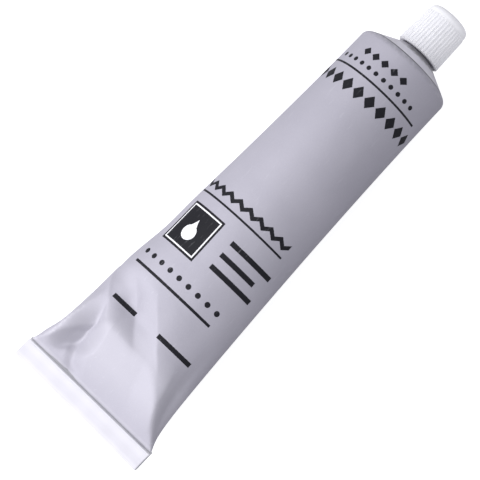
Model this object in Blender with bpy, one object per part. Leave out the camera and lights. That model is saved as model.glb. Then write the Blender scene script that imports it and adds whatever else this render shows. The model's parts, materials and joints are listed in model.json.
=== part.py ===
"""Collapsible metal tube of craft glue with a screw cap, at its real size in metres.

Every piece is modelled along the tube's own Z axis, with the fold line of the flattened end at zero,
X across the fold and Y towards the front. One empty then lays the whole tube down on its belly.
"""

import math

import bmesh
import bpy
from mathutils import Matrix, Vector

# Sleeve
TUBE_DIAMETER = 0.022
SLEEVE_LENGTH = 0.091
SLEEVE_WALL = 0.00015
TAPER_SHARE = 0.74
TAPER_POWER = 1.6
FLARE_LENGTH = 0.0032
PANEL_ANGLE = math.radians(25)

# Folded end
FOLD_HEIGHT = 0.005
FOLD_FILM = 0.00006
FOLD_SLIT = 0.00006
FOLD_TUCK = 0.0006
THROAT = 0.001

# Shoulder and nozzle
SHOULDER_ANGLE = math.radians(28)
SHOULDER_WALL = 0.0009
CORNER_RADIUS = 0.0015
NECK_RADIUS = 0.003
NECK_WALL = 0.0011
NECK_CHAMFER = 0.0003

# Thread
PITCH = 0.002
THREAD_WIRE = 0.0005
THREAD_MARGIN = 0.0012
CAP_THREAD_MARGIN = 0.0016
THREAD_CLEARANCE = 0.0002

# Cap
CAP_HEIGHT = 0.0102
CAP_WALL = 0.0014
CAP_TAPER = 0.0002
CAP_EDGE_RADIUS = 0.0014
CAP_ROOF = 0.0012
CAP_STANDOFF = 0.00075
RIB_COUNT = 40
RIB_HEIGHT = 0.00018
RIB_END = 0.0004

# Seals and filling
LINER_THICKNESS = 0.0007
FOIL_THICKNESS = 0.00012
END_SEAL_HEIGHT = 0.0027
SEAT_GAP = 0.0001
FILL_GAP = 0.0003

# Facets
SIDE_STEPS = 6
PANEL_STEPS = 3
ROUND_CREASE = math.radians(60)
SLEEVE_RINGS = 16
RING_CROWDING = 1.7
RING_CLEARANCE = 0.0002
ARC_STEPS = 4
TURN_STEPS = 24
RUN_OUT = 0.4
RUN_OUT_STEPS = 4
WIRE_RESOLUTION = 2
SHARP_ANGLE = math.radians(30)
WELD_DISTANCE = 1e-7
HALVINGS = 50
BALANCE_STEPS = 40
TILT_ROUNDS = 20

# Sizes that follow from those above
TUBE_RADIUS = TUBE_DIAMETER / 2
FLAT_HALF_WIDTH = math.pi * TUBE_RADIUS / 2
PLY = 2 * SLEEVE_WALL + FOLD_FILM
EDGE_DEPTH = 1.5 * PLY
BORE_RADIUS = NECK_RADIUS - NECK_WALL
CAP_BORE_RADIUS = NECK_RADIUS + THREAD_WIRE + THREAD_CLEARANCE
CAP_BASE_RADIUS = CAP_BORE_RADIUS + CAP_WALL
CAP_TOP_RADIUS = CAP_BASE_RADIUS - CAP_TAPER
CORNER_SWEEP = math.pi / 2 - SHOULDER_ANGLE
CORNER_TANGENT = CORNER_RADIUS * math.tan(CORNER_SWEEP / 2)
SHOULDER_SLOPE = math.tan(SHOULDER_ANGLE)
INNER_SHOULDER = SLEEVE_LENGTH - SHOULDER_WALL
NECK_BASE = SLEEVE_LENGTH + (TUBE_RADIUS - NECK_RADIUS) * SHOULDER_SLOPE
CAP_BASE = SLEEVE_LENGTH + (TUBE_RADIUS - CAP_BASE_RADIUS) * SHOULDER_SLOPE + CAP_STANDOFF
CAP_TOP = CAP_BASE + CAP_HEIGHT
CAP_ROOF_BASE = CAP_TOP - CAP_ROOF
LINER_BASE = CAP_ROOF_BASE - SEAT_GAP - LINER_THICKNESS
FOIL_BASE = LINER_BASE - SEAT_GAP - FOIL_THICKNESS
NOZZLE_TIP = FOIL_BASE - SEAT_GAP
NECK_THREAD_START = NECK_BASE + THREAD_MARGIN
NECK_THREAD_END = NOZZLE_TIP - THREAD_MARGIN
CAP_THREAD_START = CAP_BASE + CAP_THREAD_MARGIN
CAP_THREAD_END = LINER_BASE - CAP_THREAD_MARGIN
ROUND_POINTS = 4 * (SIDE_STEPS + PANEL_STEPS)


def clear_scene():
    for old in list(bpy.data.objects):
        bpy.data.objects.remove(old, do_unlink=True)


def new_collection(name):
    collection = bpy.data.collections.new(name)
    bpy.context.scene.collection.children.link(collection)
    return collection


def material(name, colour, roughness, metallic=0.0):
    made = bpy.data.materials.new(name)
    made.use_nodes = True
    shader = made.node_tree.nodes["Principled BSDF"]
    shader.inputs["Base Color"].default_value = (*colour, 1.0)
    shader.inputs["Roughness"].default_value = roughness
    shader.inputs["Metallic"].default_value = metallic
    return made


def new_object(name, mesh, collection, axis):
    made = bpy.data.objects.new(name, mesh)
    made.parent = axis
    collection.objects.link(made)
    return made


def shade_round(mesh):
    mesh.shade_smooth()
    mesh.set_sharp_from_angle(angle=SHARP_ANGLE)


def loft(name, rings):
    """A closed mesh through rings of equal point count, with a flat face at each end."""
    shape = bmesh.new()
    rows = [[shape.verts.new(point) for point in ring] for ring in rings]
    for low, high in zip(rows, rows[1:]):
        for i in range(len(low)):
            j = (i + 1) % len(low)
            shape.faces.new((low[i], low[j], high[j], high[i]))
    shape.faces.new(list(reversed(rows[0])))
    shape.faces.new(rows[-1])
    bmesh.ops.triangulate(shape, faces=shape.faces, quad_method="SHORT_EDGE")
    bmesh.ops.recalc_face_normals(shape, faces=shape.faces)
    mesh = bpy.data.meshes.new(name)
    shape.to_mesh(mesh)
    shape.free()
    shade_round(mesh)
    return mesh


def half_width(z):
    """Half the sleeve's width: round at the shoulder, flat at the fold, with a quick flare there."""
    rise = min(z / SLEEVE_LENGTH, 1.0)
    taper = TAPER_SHARE * (1.0 - rise) ** TAPER_POWER
    flare = (1.0 - TAPER_SHARE) * math.exp(-z / FLARE_LENGTH)
    return TUBE_RADIUS + (FLAT_HALF_WIDTH - TUBE_RADIUS) * (taper + flare)


def perimeter(wide, deep):
    """Ramanujan's measure round an ellipse."""
    return math.pi * (3 * (wide + deep) - math.sqrt((3 * wide + deep) * (wide + 3 * deep)))


def half_depth(wide):
    """Half the depth that keeps the round tube's perimeter, because the metal doesn't stretch."""
    low, high = 0.0, TUBE_RADIUS
    for _ in range(HALVINGS):
        middle = (low + high) / 2
        if perimeter(wide, middle) < 2 * math.pi * TUBE_RADIUS:
            low = middle
        else:
            high = middle
    return high


def panel_height(z):
    """The flat panel that runs up from the fold, front and back."""
    return SLEEVE_WALL + z * math.tan(PANEL_ANGLE)


def crown(z):
    """Height of the front above the tube's middle plane: the panel near the fold, then a round belly."""
    return min(panel_height(z), half_depth(half_width(z)))


def section(z, inset=0.0):
    """One ring of the sleeve. A point of each quarter follows the crease at the panel's edge."""
    wide = half_width(z)
    deep = max(half_depth(wide), EDGE_DEPTH)
    flat = min(panel_height(z), deep)
    crease = min(math.asin(flat / deep), ROUND_CREASE)
    angles = [crease * i / SIDE_STEPS for i in range(SIDE_STEPS)]
    angles += [crease + (math.pi / 2 - crease) * i / PANEL_STEPS for i in range(PANEL_STEPS)]
    quarter = []
    for turn in angles:
        height = min((deep - inset) * math.sin(turn), flat - inset)
        quarter.append(((wide - inset) * math.cos(turn), height))
    half = quarter + [(0.0, flat - inset)] + [(-x, y) for x, y in reversed(quarter)]
    ring = half + [(-x, -y) for x, y in half[1:-1]]
    return [Vector((x, y, z)) for x, y in ring]


def circle(radius, z):
    turn = 2 * math.pi / ROUND_POINTS
    return [Vector((radius * math.cos(i * turn), radius * math.sin(i * turn), z)) for i in range(ROUND_POINTS)]


def ring_heights(low):
    """Heights of the sleeve's rings from low upwards, closer together near the fold."""
    top = SLEEVE_LENGTH - max(CORNER_TANGENT, SHOULDER_WALL + FILL_GAP)
    spread = [top * (i / SLEEVE_RINGS) ** RING_CROWDING for i in range(SLEEVE_RINGS + 1)]
    return [low] + [z for z in spread if z > low + RING_CLEARANCE]


def head_outside():
    """Rounded corner, shoulder cone and neck, as rings from the sleeve to the nozzle tip."""
    rings = []
    for i in range(ARC_STEPS + 1):
        turn = CORNER_SWEEP * i / ARC_STEPS
        radius = TUBE_RADIUS - CORNER_RADIUS * (1 - math.cos(turn))
        rings.append(circle(radius, SLEEVE_LENGTH - CORNER_TANGENT + CORNER_RADIUS * math.sin(turn)))
    rings.append(circle(NECK_RADIUS, NECK_BASE))
    rings.append(circle(NECK_RADIUS, NOZZLE_TIP - NECK_CHAMFER))
    rings.append(circle(NECK_RADIUS - NECK_CHAMFER, NOZZLE_TIP))
    return rings


def bore_base(inset):
    """Where a bore narrowed by the inset meets the underside of the shoulder."""
    return INNER_SHOULDER + (TUBE_RADIUS - BORE_RADIUS + inset) * SHOULDER_SLOPE - inset


def shell_rings():
    """Outside from the fold to the nozzle tip, then inside down the bore to the throat."""
    tongue = [point - Vector((0, 0, FOLD_TUCK)) for point in section(0.0, SLEEVE_WALL / 2)]
    outside = [section(z) for z in ring_heights(0.0)]
    inside = [circle(BORE_RADIUS, NOZZLE_TIP), circle(BORE_RADIUS, bore_base(0.0))]
    inside.append(circle(TUBE_RADIUS - SLEEVE_WALL, INNER_SHOULDER + SLEEVE_WALL * SHOULDER_SLOPE))
    inside += [section(z, SLEEVE_WALL) for z in reversed(ring_heights(THROAT))]
    return [tongue] + outside + head_outside() + inside


def ribbon_outline():
    """The double wall folded over twice, in Y and Z: down, up the front, and down again inside."""
    step = PLY + FOLD_SLIT
    foot = PLY / 2 + step - FOLD_HEIGHT
    top = -(PLY + step / 2)
    path = [Vector((0.0, FOLD_TUCK / 2))]
    for i in range(2 * ARC_STEPS + 1):
        turn = math.pi * i / (2 * ARC_STEPS)
        path.append(Vector((step - step * math.cos(turn), foot - step * math.sin(turn))))
    for i in range(2 * ARC_STEPS + 1):
        turn = math.pi * i / (2 * ARC_STEPS)
        path.append(Vector((1.5 * step + step / 2 * math.cos(turn), top + step / 2 * math.sin(turn))))
    path.append(Vector((step, foot)))
    return offset_outline(path, PLY / 2)


def offset_outline(path, half):
    """Both sides of a path as one closed outline."""
    left, right = [], []
    for i, point in enumerate(path):
        along = (path[min(i + 1, len(path) - 1)] - path[max(i - 1, 0)]).normalized()
        side = Vector((-along.y, along.x)) * half
        left.append(point + side)
        right.append(point - side)
    return left + right[::-1]


def mesh_of_curve(curve, name):
    """A curve made a closed mesh, so that a Boolean can use it."""
    guide = bpy.data.objects.new(name, curve)
    bpy.context.scene.collection.objects.link(guide)
    graph = bpy.context.evaluated_depsgraph_get()
    mesh = bpy.data.meshes.new_from_object(guide.evaluated_get(graph))
    bpy.data.objects.remove(guide, do_unlink=True)
    shape = bmesh.new()
    shape.from_mesh(mesh)
    bmesh.ops.remove_doubles(shape, verts=shape.verts, dist=WELD_DISTANCE)
    bmesh.ops.recalc_face_normals(shape, faces=shape.faces)
    shape.to_mesh(mesh)
    shape.free()
    return mesh


def fold_mesh():
    curve = bpy.data.curves.new("fold", "CURVE")
    curve.dimensions = "2D"
    curve.fill_mode = "BOTH"
    curve.extrude = FLAT_HALF_WIDTH + SLEEVE_WALL / 2
    outline = ribbon_outline()
    spline = curve.splines.new("POLY")
    spline.points.add(len(outline) - 1)
    for point, place in zip(spline.points, outline):
        point.co = (place.x, place.y, 0.0, 1.0)
    spline.use_cyclic_u = True
    mesh = mesh_of_curve(curve, "fold")
    mesh.transform(Matrix(((0, 0, 1, 0), (1, 0, 0, 0), (0, 1, 0, 0), (0, 0, 0, 1))))
    return mesh


def helix_mesh(name, radius, start, end, phase):
    """A round thread ridge, sunk to its middle in the wall, that runs out thin at both ends."""
    curve = bpy.data.curves.new(name, "CURVE")
    curve.dimensions = "3D"
    curve.bevel_depth = THREAD_WIRE
    curve.bevel_resolution = WIRE_RESOLUTION
    curve.use_fill_caps = True
    count = math.floor((end - start) / PITCH * TURN_STEPS)
    spline = curve.splines.new("POLY")
    spline.points.add(count)
    for i, point in enumerate(spline.points):
        turn = 2 * math.pi * i / TURN_STEPS
        spot = (radius * math.cos(turn + phase), radius * math.sin(turn + phase))
        point.co = (*spot, start + PITCH * i / TURN_STEPS, 1.0)
        point.radius = min(1.0, RUN_OUT + (1 - RUN_OUT) * min(i, count - i) / RUN_OUT_STEPS)
    return mesh_of_curve(curve, name)


def boolean(target, other, operation):
    modifier = target.modifiers.new(other.name, "BOOLEAN")
    modifier.operation = operation
    modifier.solver = "EXACT"
    modifier.object = other


def helper(name, mesh, collection, axis):
    made = new_object(name, mesh, collection, axis)
    made.hide_render = True
    made.display_type = "WIRE"
    return made


def tube_shell(parts, helpers, axis):
    shell = new_object("tube_shell", loft("tube_shell", shell_rings()), parts, axis)
    shell.data.materials.append(material("silver_lilac_enamel", (0.55, 0.55, 0.62), 0.4))
    boolean(shell, helper("folded_end", fold_mesh(), helpers, axis), "UNION")
    thread = helix_mesh("neck_thread", NECK_RADIUS, NECK_THREAD_START, NECK_THREAD_END, 0.0)
    boolean(shell, helper("neck_thread", thread, helpers, axis), "UNION")


def fluted_ring(radius, height, z):
    """A ring with a crest and a root for each grip rib, two points wide each."""
    turn = 2 * math.pi / (4 * RIB_COUNT)
    ring = []
    for i in range(4 * RIB_COUNT):
        reach = radius if i % 4 < 2 else radius - height
        ring.append(Vector((reach * math.cos(i * turn), reach * math.sin(i * turn), z)))
    return ring


def cap_outside():
    """Straight ribbed side, then a smooth rounded edge to the flat top."""
    edge_start = CAP_TOP - CAP_EDGE_RADIUS
    rib_top = edge_start - RIB_END
    slope = (CAP_TOP_RADIUS - CAP_BASE_RADIUS) / (edge_start - CAP_BASE)
    rings = [
        fluted_ring(CAP_BASE_RADIUS, RIB_HEIGHT, CAP_BASE),
        fluted_ring(CAP_BASE_RADIUS + slope * (rib_top - CAP_BASE), RIB_HEIGHT, rib_top),
    ]
    for i in range(ARC_STEPS + 1):
        turn = math.pi / 2 * i / ARC_STEPS
        radius = CAP_TOP_RADIUS - RIB_HEIGHT - CAP_EDGE_RADIUS * (1 - math.cos(turn))
        rings.append(fluted_ring(radius, 0.0, edge_start + CAP_EDGE_RADIUS * math.sin(turn)))
    return rings


def screw_cap(parts, helpers, axis):
    cap = new_object("screw_cap", loft("screw_cap", cap_outside()), parts, axis)
    cap.data.materials.append(material("white_cap_plastic", (0.88, 0.88, 0.9), 0.35))
    depth = CAP_ROOF_BASE - CAP_BASE
    bore = bmesh.new()
    bmesh.ops.create_cone(
        bore,
        cap_ends=True,
        segments=ROUND_POINTS,
        radius1=CAP_BORE_RADIUS,
        radius2=CAP_BORE_RADIUS,
        depth=2 * depth,
        matrix=Matrix.Translation((0, 0, CAP_ROOF_BASE - depth)),
    )
    bore_mesh = bpy.data.meshes.new("cap_bore")
    bore.to_mesh(bore_mesh)
    bore.free()
    boolean(cap, helper("cap_bore", bore_mesh, helpers, axis), "DIFFERENCE")
    phase = 2 * math.pi * ((CAP_THREAD_START - NECK_THREAD_START) / PITCH - 0.5)
    thread = helix_mesh("cap_thread", CAP_BORE_RADIUS, CAP_THREAD_START, CAP_THREAD_END, phase)
    boolean(cap, helper("cap_thread", thread, helpers, axis), "UNION")


def disc(name, radius, low, thickness, finish, parts, axis):
    shape = bmesh.new()
    bmesh.ops.create_cone(
        shape,
        cap_ends=True,
        segments=ROUND_POINTS,
        radius1=radius,
        radius2=radius,
        depth=thickness,
        matrix=Matrix.Translation((0, 0, low + thickness / 2)),
    )
    mesh = bpy.data.meshes.new(name)
    shape.to_mesh(mesh)
    shape.free()
    shade_round(mesh)
    made = new_object(name, mesh, parts, axis)
    made.data.materials.append(finish)


def end_seal(parts, axis):
    """A wedge of sealing compound in the throat, a seat gap clear of the metal."""
    inset = SLEEVE_WALL + SEAT_GAP
    low = THROAT + SEAT_GAP
    top = low + END_SEAL_HEIGHT
    rings = [section(z, inset) for z in ring_heights(low) if z < top - RING_CLEARANCE]
    rings.append(section(top, inset))
    seal = new_object("end_seal", loft("end_seal", rings), parts, axis)
    seal.data.materials.append(material("sealing_compound", (0.7, 0.66, 0.5), 0.6))


def adhesive(parts, axis):
    """The filling: all the room inside the sleeve and the nozzle, less a gap to the metal."""
    inset = SLEEVE_WALL + FILL_GAP
    low = THROAT + END_SEAL_HEIGHT + SEAT_GAP + FILL_GAP
    rings = [section(z, inset) for z in ring_heights(low)]
    rings.append(circle(BORE_RADIUS - FILL_GAP, bore_base(FILL_GAP)))
    rings.append(circle(BORE_RADIUS - FILL_GAP, NOZZLE_TIP - FILL_GAP))
    filling = new_object("adhesive", loft("adhesive", rings), parts, axis)
    filling.data.materials.append(material("clear_adhesive", (0.8, 0.8, 0.78), 0.2))


def balance_height():
    """How far from the fold the filled sleeve balances."""
    area_sum, moment = 0.0, 0.0
    for i in range(BALANCE_STEPS):
        z = SLEEVE_LENGTH * (i + 0.5) / BALANCE_STEPS
        area = half_width(z) * crown(z)
        area_sum += area
        moment += area * z
    return moment / area_sum


def lie_angle():
    """Tilt of the axis when the belly touches the table below the balance point."""
    step = SLEEVE_LENGTH / (2 * BALANCE_STEPS)
    balance = balance_height()
    contact = balance
    for _ in range(TILT_ROUNDS):
        slope = (crown(contact + step) - crown(contact - step)) / (2 * step)
        contact = balance - crown(contact) * slope
    return math.atan(slope)


def lay_down(axis, parts):
    """Axis along X with the cap end raised, front up, resting on Z zero and centred in X and Y."""
    lying = Matrix(((0, 0, 1, 0), (1, 0, 0, 0), (0, 1, 0, 0), (0, 0, 0, 1)))
    axis.matrix_world = Matrix.Rotation(-lie_angle(), 4, "Y") @ lying
    bpy.context.view_layer.update()
    graph = bpy.context.evaluated_depsgraph_get()
    points = []
    for part in parts.objects:
        placed = part.evaluated_get(graph)
        points += [placed.matrix_world @ vertex.co for vertex in placed.data.vertices]
    low = [min(point[i] for point in points) for i in range(3)]
    high = [max(point[i] for point in points) for i in range(3)]
    shift = Vector((-(low[0] + high[0]) / 2, -(low[1] + high[1]) / 2, -low[2]))
    axis.matrix_world = Matrix.Translation(shift) @ axis.matrix_world


def main():
    clear_scene()
    parts = new_collection("craft_glue_tube")
    helpers = new_collection("cutters")
    axis = bpy.data.objects.new("tube_axis", None)
    bpy.context.scene.collection.objects.link(axis)
    tube_shell(parts, helpers, axis)
    end_seal(parts, axis)
    adhesive(parts, axis)
    foil = material("seal_foil", (0.8, 0.8, 0.82), 0.3, 1.0)
    disc("nozzle_foil", NECK_RADIUS - NECK_CHAMFER, FOIL_BASE, FOIL_THICKNESS, foil, parts, axis)
    wad = material("liner_foam", (0.85, 0.84, 0.8), 0.7)
    disc("cap_liner", CAP_BORE_RADIUS - SEAT_GAP, LINER_BASE, LINER_THICKNESS, wad, parts, axis)
    screw_cap(parts, helpers, axis)
    lay_down(axis, parts)


main()
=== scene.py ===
# %% [markdown]
# A tube of craft glue, dressed for a picture. The packed CAD model is the frame: it gives the size,
# the place and the joints of every piece. Here each piece gets its finer shape and its finish, and
# stays where the frame has it. Sizes are in metres, unless a name says mm.

# %% Load the frame
import json
import math

import bpy
import numpy as np
from mathutils import Matrix, Vector


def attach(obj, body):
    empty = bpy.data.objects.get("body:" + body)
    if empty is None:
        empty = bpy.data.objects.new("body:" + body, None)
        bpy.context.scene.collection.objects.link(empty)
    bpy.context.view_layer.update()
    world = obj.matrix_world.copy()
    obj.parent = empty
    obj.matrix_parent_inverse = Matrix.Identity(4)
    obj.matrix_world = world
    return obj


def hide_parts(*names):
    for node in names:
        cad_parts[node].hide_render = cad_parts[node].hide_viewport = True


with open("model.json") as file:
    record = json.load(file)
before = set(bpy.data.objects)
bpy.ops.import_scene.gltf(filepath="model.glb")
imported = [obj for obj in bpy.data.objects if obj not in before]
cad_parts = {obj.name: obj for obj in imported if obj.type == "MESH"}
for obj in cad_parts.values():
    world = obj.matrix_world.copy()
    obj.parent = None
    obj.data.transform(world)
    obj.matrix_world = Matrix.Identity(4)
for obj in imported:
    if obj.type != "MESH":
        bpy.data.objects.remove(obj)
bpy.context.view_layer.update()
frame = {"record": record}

# %% [markdown]
# A few sizes drive the rest. They could be measured on the CAD meshes, but a maker thinks the other
# way round: tube, neck and cap come first, and the heights follow. The cap stands just above the
# shoulder's cone, the liner lies under its roof, and the foil and the nozzle's tip come below that,
# each with a small gap.

# %% Driving sizes
TUBE_RADIUS = 0.011
SLEEVE_LENGTH = 0.091
SLEEVE_WALL = 0.00015
SHOULDER_SLOPE = math.tan(math.radians(28))
SHOULDER_WALL = 0.0009
NECK_RADIUS = 0.003
BORE_RADIUS = 0.0019
THREAD_WIRE = 0.0005
THREAD_CLEARANCE = 0.0002
CAP_WALL = 0.0014
CAP_HEIGHT = 0.0102
CAP_ROOF_THICKNESS = 0.0012
CAP_STANDOFF = 0.00075
LINER_THICKNESS = 0.0007
FOIL_THICKNESS = 0.00012
SEAT_GAP = 0.0001


def cone_height(radius):
    """How high the shoulder's cone stands above the fold line, at a radius."""
    return SLEEVE_LENGTH + (TUBE_RADIUS - radius) * SHOULDER_SLOPE


CAP_BORE = NECK_RADIUS + THREAD_WIRE + THREAD_CLEARANCE
CAP_RADIUS = CAP_BORE + CAP_WALL
CAP_BASE = cone_height(CAP_RADIUS) + CAP_STANDOFF
CAP_TOP = CAP_BASE + CAP_HEIGHT
CAP_ROOF = CAP_TOP - CAP_ROOF_THICKNESS
LINER_BASE = CAP_ROOF - SEAT_GAP - LINER_THICKNESS
FOIL_BASE = LINER_BASE - SEAT_GAP - FOIL_THICKNESS
NOZZLE_TIP = FOIL_BASE - SEAT_GAP
print("cap from", round(1000 * CAP_BASE, 2), "to", round(1000 * CAP_TOP, 2), "mm above the fold line")

# %% [markdown]
# The real tube lies on its belly, so its axis leans a few degrees. Modelling on a leaning axis is
# awkward by hand. Every piece is therefore made standing up, with the fold line at height zero and
# the front towards Y, and is laid down at the end by one matrix. The cap's hinge in the record says
# where the axis runs.

# %% The tube's own frame
def frame_from(first, second, third, origin):
    """A matrix whose columns are three directions and an origin."""
    directions = Matrix((first, second, third)).transposed()
    return Matrix.Translation(origin) @ directions.to_4x4()


joints = frame["record"]["behaviour"]["joints"]
cap_turn = [joint for joint in joints if joint["name"] == "cap_turn"][0]
axis = Vector(cap_turn["axis"]).normalized()
across = Vector((0, 1, 0))
front = axis.cross(across)
fold_line = Vector(cap_turn["pos_m"]) - axis * CAP_BASE
tube_frame = frame_from(across, front, axis, fold_line)
lean = math.degrees(math.asin(axis.z))
print("axis rises", round(lean, 2), "degrees; fold line at", tuple(round(v, 4) for v in fold_line))

# %% [markdown]
# An operator acts on all that is selected, and the frame arrives selected. So one habit keeps the
# work safe: go to object mode, deselect everything, and only then add or pick something. Points could
# be dragged one by one, but reading and writing them all at once is quick and exact.

# %% One piece at a time
def clear_selection():
    if bpy.context.object and bpy.context.object.mode != "OBJECT":
        bpy.ops.object.mode_set(mode="OBJECT")
    bpy.ops.object.select_all(action="DESELECT")


def only(piece):
    clear_selection()
    piece.select_set(True)
    bpy.context.view_layer.objects.active = piece


def pick(piece, kind, chosen):
    """Opens a piece in edit mode with only the chosen points (VERT) or faces (FACE) selected."""
    only(piece)
    mesh = piece.data
    for parts in (mesh.vertices, mesh.edges, mesh.polygons):
        parts.foreach_set("select", np.zeros(len(parts), dtype=bool))
    wanted = mesh.vertices if kind == "VERT" else mesh.polygons
    wanted.foreach_set("select", chosen)
    bpy.ops.object.mode_set(mode="EDIT")
    bpy.ops.mesh.select_mode(type=kind)


def points_of(piece):
    flat = np.empty(3 * len(piece.data.vertices))
    piece.data.vertices.foreach_get("co", flat)
    return flat.reshape(-1, 3)


def move_points(piece, points):
    piece.data.vertices.foreach_set("co", np.ascontiguousarray(points, dtype=np.float32).ravel())
    piece.data.update()


# %% [markdown]
# Every mesh is closed and cleaned in the same way: points that lie on each other are merged, open
# rims are filled, faces are turned outwards, and round parts are shaded smooth while sharp edges stay
# sharp. Modifiers could stay live, but each piece here is meant as a finished mesh, so they are applied.

# %% Closing and smoothing
MERGE = 1e-6


def open_merged(piece):
    """Opens a piece in edit mode, all of it selected, with its double points merged."""
    only(piece)
    bpy.ops.object.mode_set(mode="EDIT")
    bpy.ops.mesh.select_all(action="SELECT")
    bpy.ops.mesh.remove_doubles(threshold=MERGE)


def close_ends(piece):
    """Joins the seam of a rolled or swept piece, and fills its open rims."""
    open_merged(piece)
    bpy.ops.mesh.select_all(action="DESELECT")
    bpy.ops.mesh.select_mode(type="EDGE")
    bpy.ops.mesh.select_non_manifold(
        extend=False, use_wire=False, use_multi_face=False, use_non_contiguous=False, use_verts=False)
    bpy.ops.mesh.fill()
    bpy.ops.object.mode_set(mode="OBJECT")


def tidy(piece, sharp=35):
    """Turns faces outwards, and keeps edges sharper than an angle in degrees from being smoothed."""
    open_merged(piece)
    bpy.ops.mesh.normals_make_consistent(inside=False)
    bpy.ops.object.mode_set(mode="OBJECT")
    bpy.ops.object.shade_smooth_by_angle(angle=math.radians(sharp))


def apply_modifier(piece, kind, **settings):
    """Adds a modifier with its settings, and applies it."""
    only(piece)
    made = piece.modifiers.new(kind, kind)
    for name, value in settings.items():
        setattr(made, name, value)
    bpy.ops.object.modifier_apply(modifier=made.name)


def round_edges(piece, width, sharper_than):
    """Rounds every edge that is sharper than an angle in degrees."""
    apply_modifier(piece, "BEVEL", width=width, segments=2, limit_method="ANGLE",
                   angle_limit=math.radians(sharper_than))


def join_to(piece, addition):
    only(piece)
    addition.select_set(True)
    bpy.ops.object.join()


print("points within", MERGE, "m of each other are merged")

# %% [markdown]
# A finished piece stores where each point stood on the upright tube, because patterns that run along
# or around the tube need that. Then it is laid down. It could stay a turned object, but the export
# wants every object at the origin, so the turn goes into the mesh. The piece is hung on an empty for
# the body that carries it, and the CAD node it stands for is hidden.

# %% Laying a piece down
def lay_down(piece, name, body, node):
    piece.name = name
    piece.data.name = name
    upright = piece.data.attributes.new("upright", "FLOAT_VECTOR", "POINT")
    upright.data.foreach_set("vector", (points_of(piece) * 1000).astype(np.float32).ravel())
    piece.matrix_world = tube_frame @ piece.matrix_world
    only(piece)
    bpy.ops.object.transform_apply(location=True, rotation=True, scale=True)
    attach(piece, body)
    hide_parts(node)
    print(name, len(piece.data.polygons), "faces")


print("pieces will be turned by", round(90 - lean, 2), "degrees")

# %% [markdown]
# The sleeve is thin soft aluminium. It starts round at the shoulder and is pressed flat at the fold,
# and since the metal doesn't stretch, its girth stays the same all the way. A cloth simulation could
# crumple it, but it would give other dents each time a number changes. Here the width is a formula,
# and the depth follows from the girth.

# %% Widths and depths of the sleeve
FLAT_HALF_WIDTH = math.pi * TUBE_RADIUS / 2
GIRTH = 2 * math.pi * TUBE_RADIUS
TAPER_SHARE = 0.74
TAPER_POWER = 1.6
FLARE_LENGTH = 0.0032
HALVINGS = 40


def half_width(up):
    """Half the sleeve's width at a height: a long taper, and a quick flare at the fold."""
    taper = TAPER_SHARE * (1 - min(up / SLEEVE_LENGTH, 1.0)) ** TAPER_POWER
    flare = (1 - TAPER_SHARE) * math.exp(-up / FLARE_LENGTH)
    return TUBE_RADIUS + (FLAT_HALF_WIDTH - TUBE_RADIUS) * (taper + flare)


def half_depth(wide):
    """Half the depth of an ellipse of the tube's girth, found by halving the range it lies in."""
    low, high = 0.0, TUBE_RADIUS
    for _ in range(HALVINGS):
        deep = (low + high) / 2
        girth = math.pi * (3 * (wide + deep) - math.sqrt((3 * wide + deep) * (wide + 3 * deep)))
        low, high = (deep, high) if girth < GIRTH else (low, deep)
    return high


for up in (0.0, 0.01, 0.03, 0.06, 0.09):
    sizes = (half_width(up), half_depth(half_width(up)))
    print("at", round(1000 * up), "mm: half width and depth", [round(1000 * size, 2) for size in sizes])

# %% [markdown]
# One ring of the sleeve is an ellipse cut off by two flat panels, which run up from the fold on both
# faces. Its points could be spread evenly by angle. They are spread evenly along the girth instead,
# as marks on the flat sheet would be, so print laid out in millimetres bends with the metal. A ring is
# kept as complex numbers, x plus i times y, because turning and measuring them is then short. The
# seam of the sheet is at the back.

# %% One ring of the sleeve
COLUMNS = 256
RING_STEPS = 1440
PANEL_SLOPE = math.tan(math.radians(25))
PANEL_EDGE_START = 0.00015
PANEL_EDGE_GROWTH = 0.03
PANEL_EDGE_WIDEST = 0.0014
LEAST_HALF_DEPTH = 0.00054
FACES_APART = 0.00002


def once_around(steps):
    """Angles of a closed ring that starts and ends at the back."""
    return np.linspace(-math.pi / 2, 1.5 * math.pi, steps + 1)


def soft_min(first, second, blend):
    """The lower of two heights, with a rounded corner where they cross."""
    share = np.clip(0.5 + 0.5 * (second - first) / blend, 0, 1)
    return second * (1 - share) + first * share - blend * share * (1 - share)


def sleeve_ring(up, inset=0.0):
    wide = half_width(up)
    deep = max(half_depth(wide), LEAST_HALF_DEPTH)
    turn = once_around(RING_STEPS)
    side = np.sign(np.sin(turn))
    panel = SLEEVE_WALL + up * PANEL_SLOPE
    panel_edge = min(PANEL_EDGE_WIDEST, PANEL_EDGE_START + PANEL_EDGE_GROWTH * up)
    height = soft_min(deep * np.abs(np.sin(turn)), panel, panel_edge)
    steps = np.hypot(np.diff(wide * np.cos(turn)), np.diff(side * height))
    run = np.concatenate([[0], np.cumsum(steps)])
    even = np.linspace(0, run[-1], COLUMNS + 1)
    x = (wide - inset) * np.cos(turn)
    y = side * np.maximum(height - inset, FACES_APART)
    return np.interp(even, run, x) + 1j * np.interp(even, run, y)


def circle_ring(radius):
    return radius * np.exp(1j * once_around(COLUMNS))


trial = sleeve_ring(0.01)
print("ring 10 mm up is", round(2000 * trial.real.max(), 1), "by", round(2000 * trial.imag.max(), 1), "mm")

# %% [markdown]
# Crimping and handling leave creases near the fold: a forked tuck at the left corner, a raised crease
# at the right one, and a slanting crease above the flat panel. They could be sculpted, but then nobody
# could move them later. Each one is a low ridge or valley along a line on the sheet instead. The line
# is given by a few heights up the tube and places across, from the front's middle, in millimetres.
# Depths below zero go inwards.

# %% Creases
CREASE_ROUND_MM = 0.4
PATH_ROUND_MM = 0.8
SOFT_FLANK = 1.35
STRAIGHT_FLANK = 0.8

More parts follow.
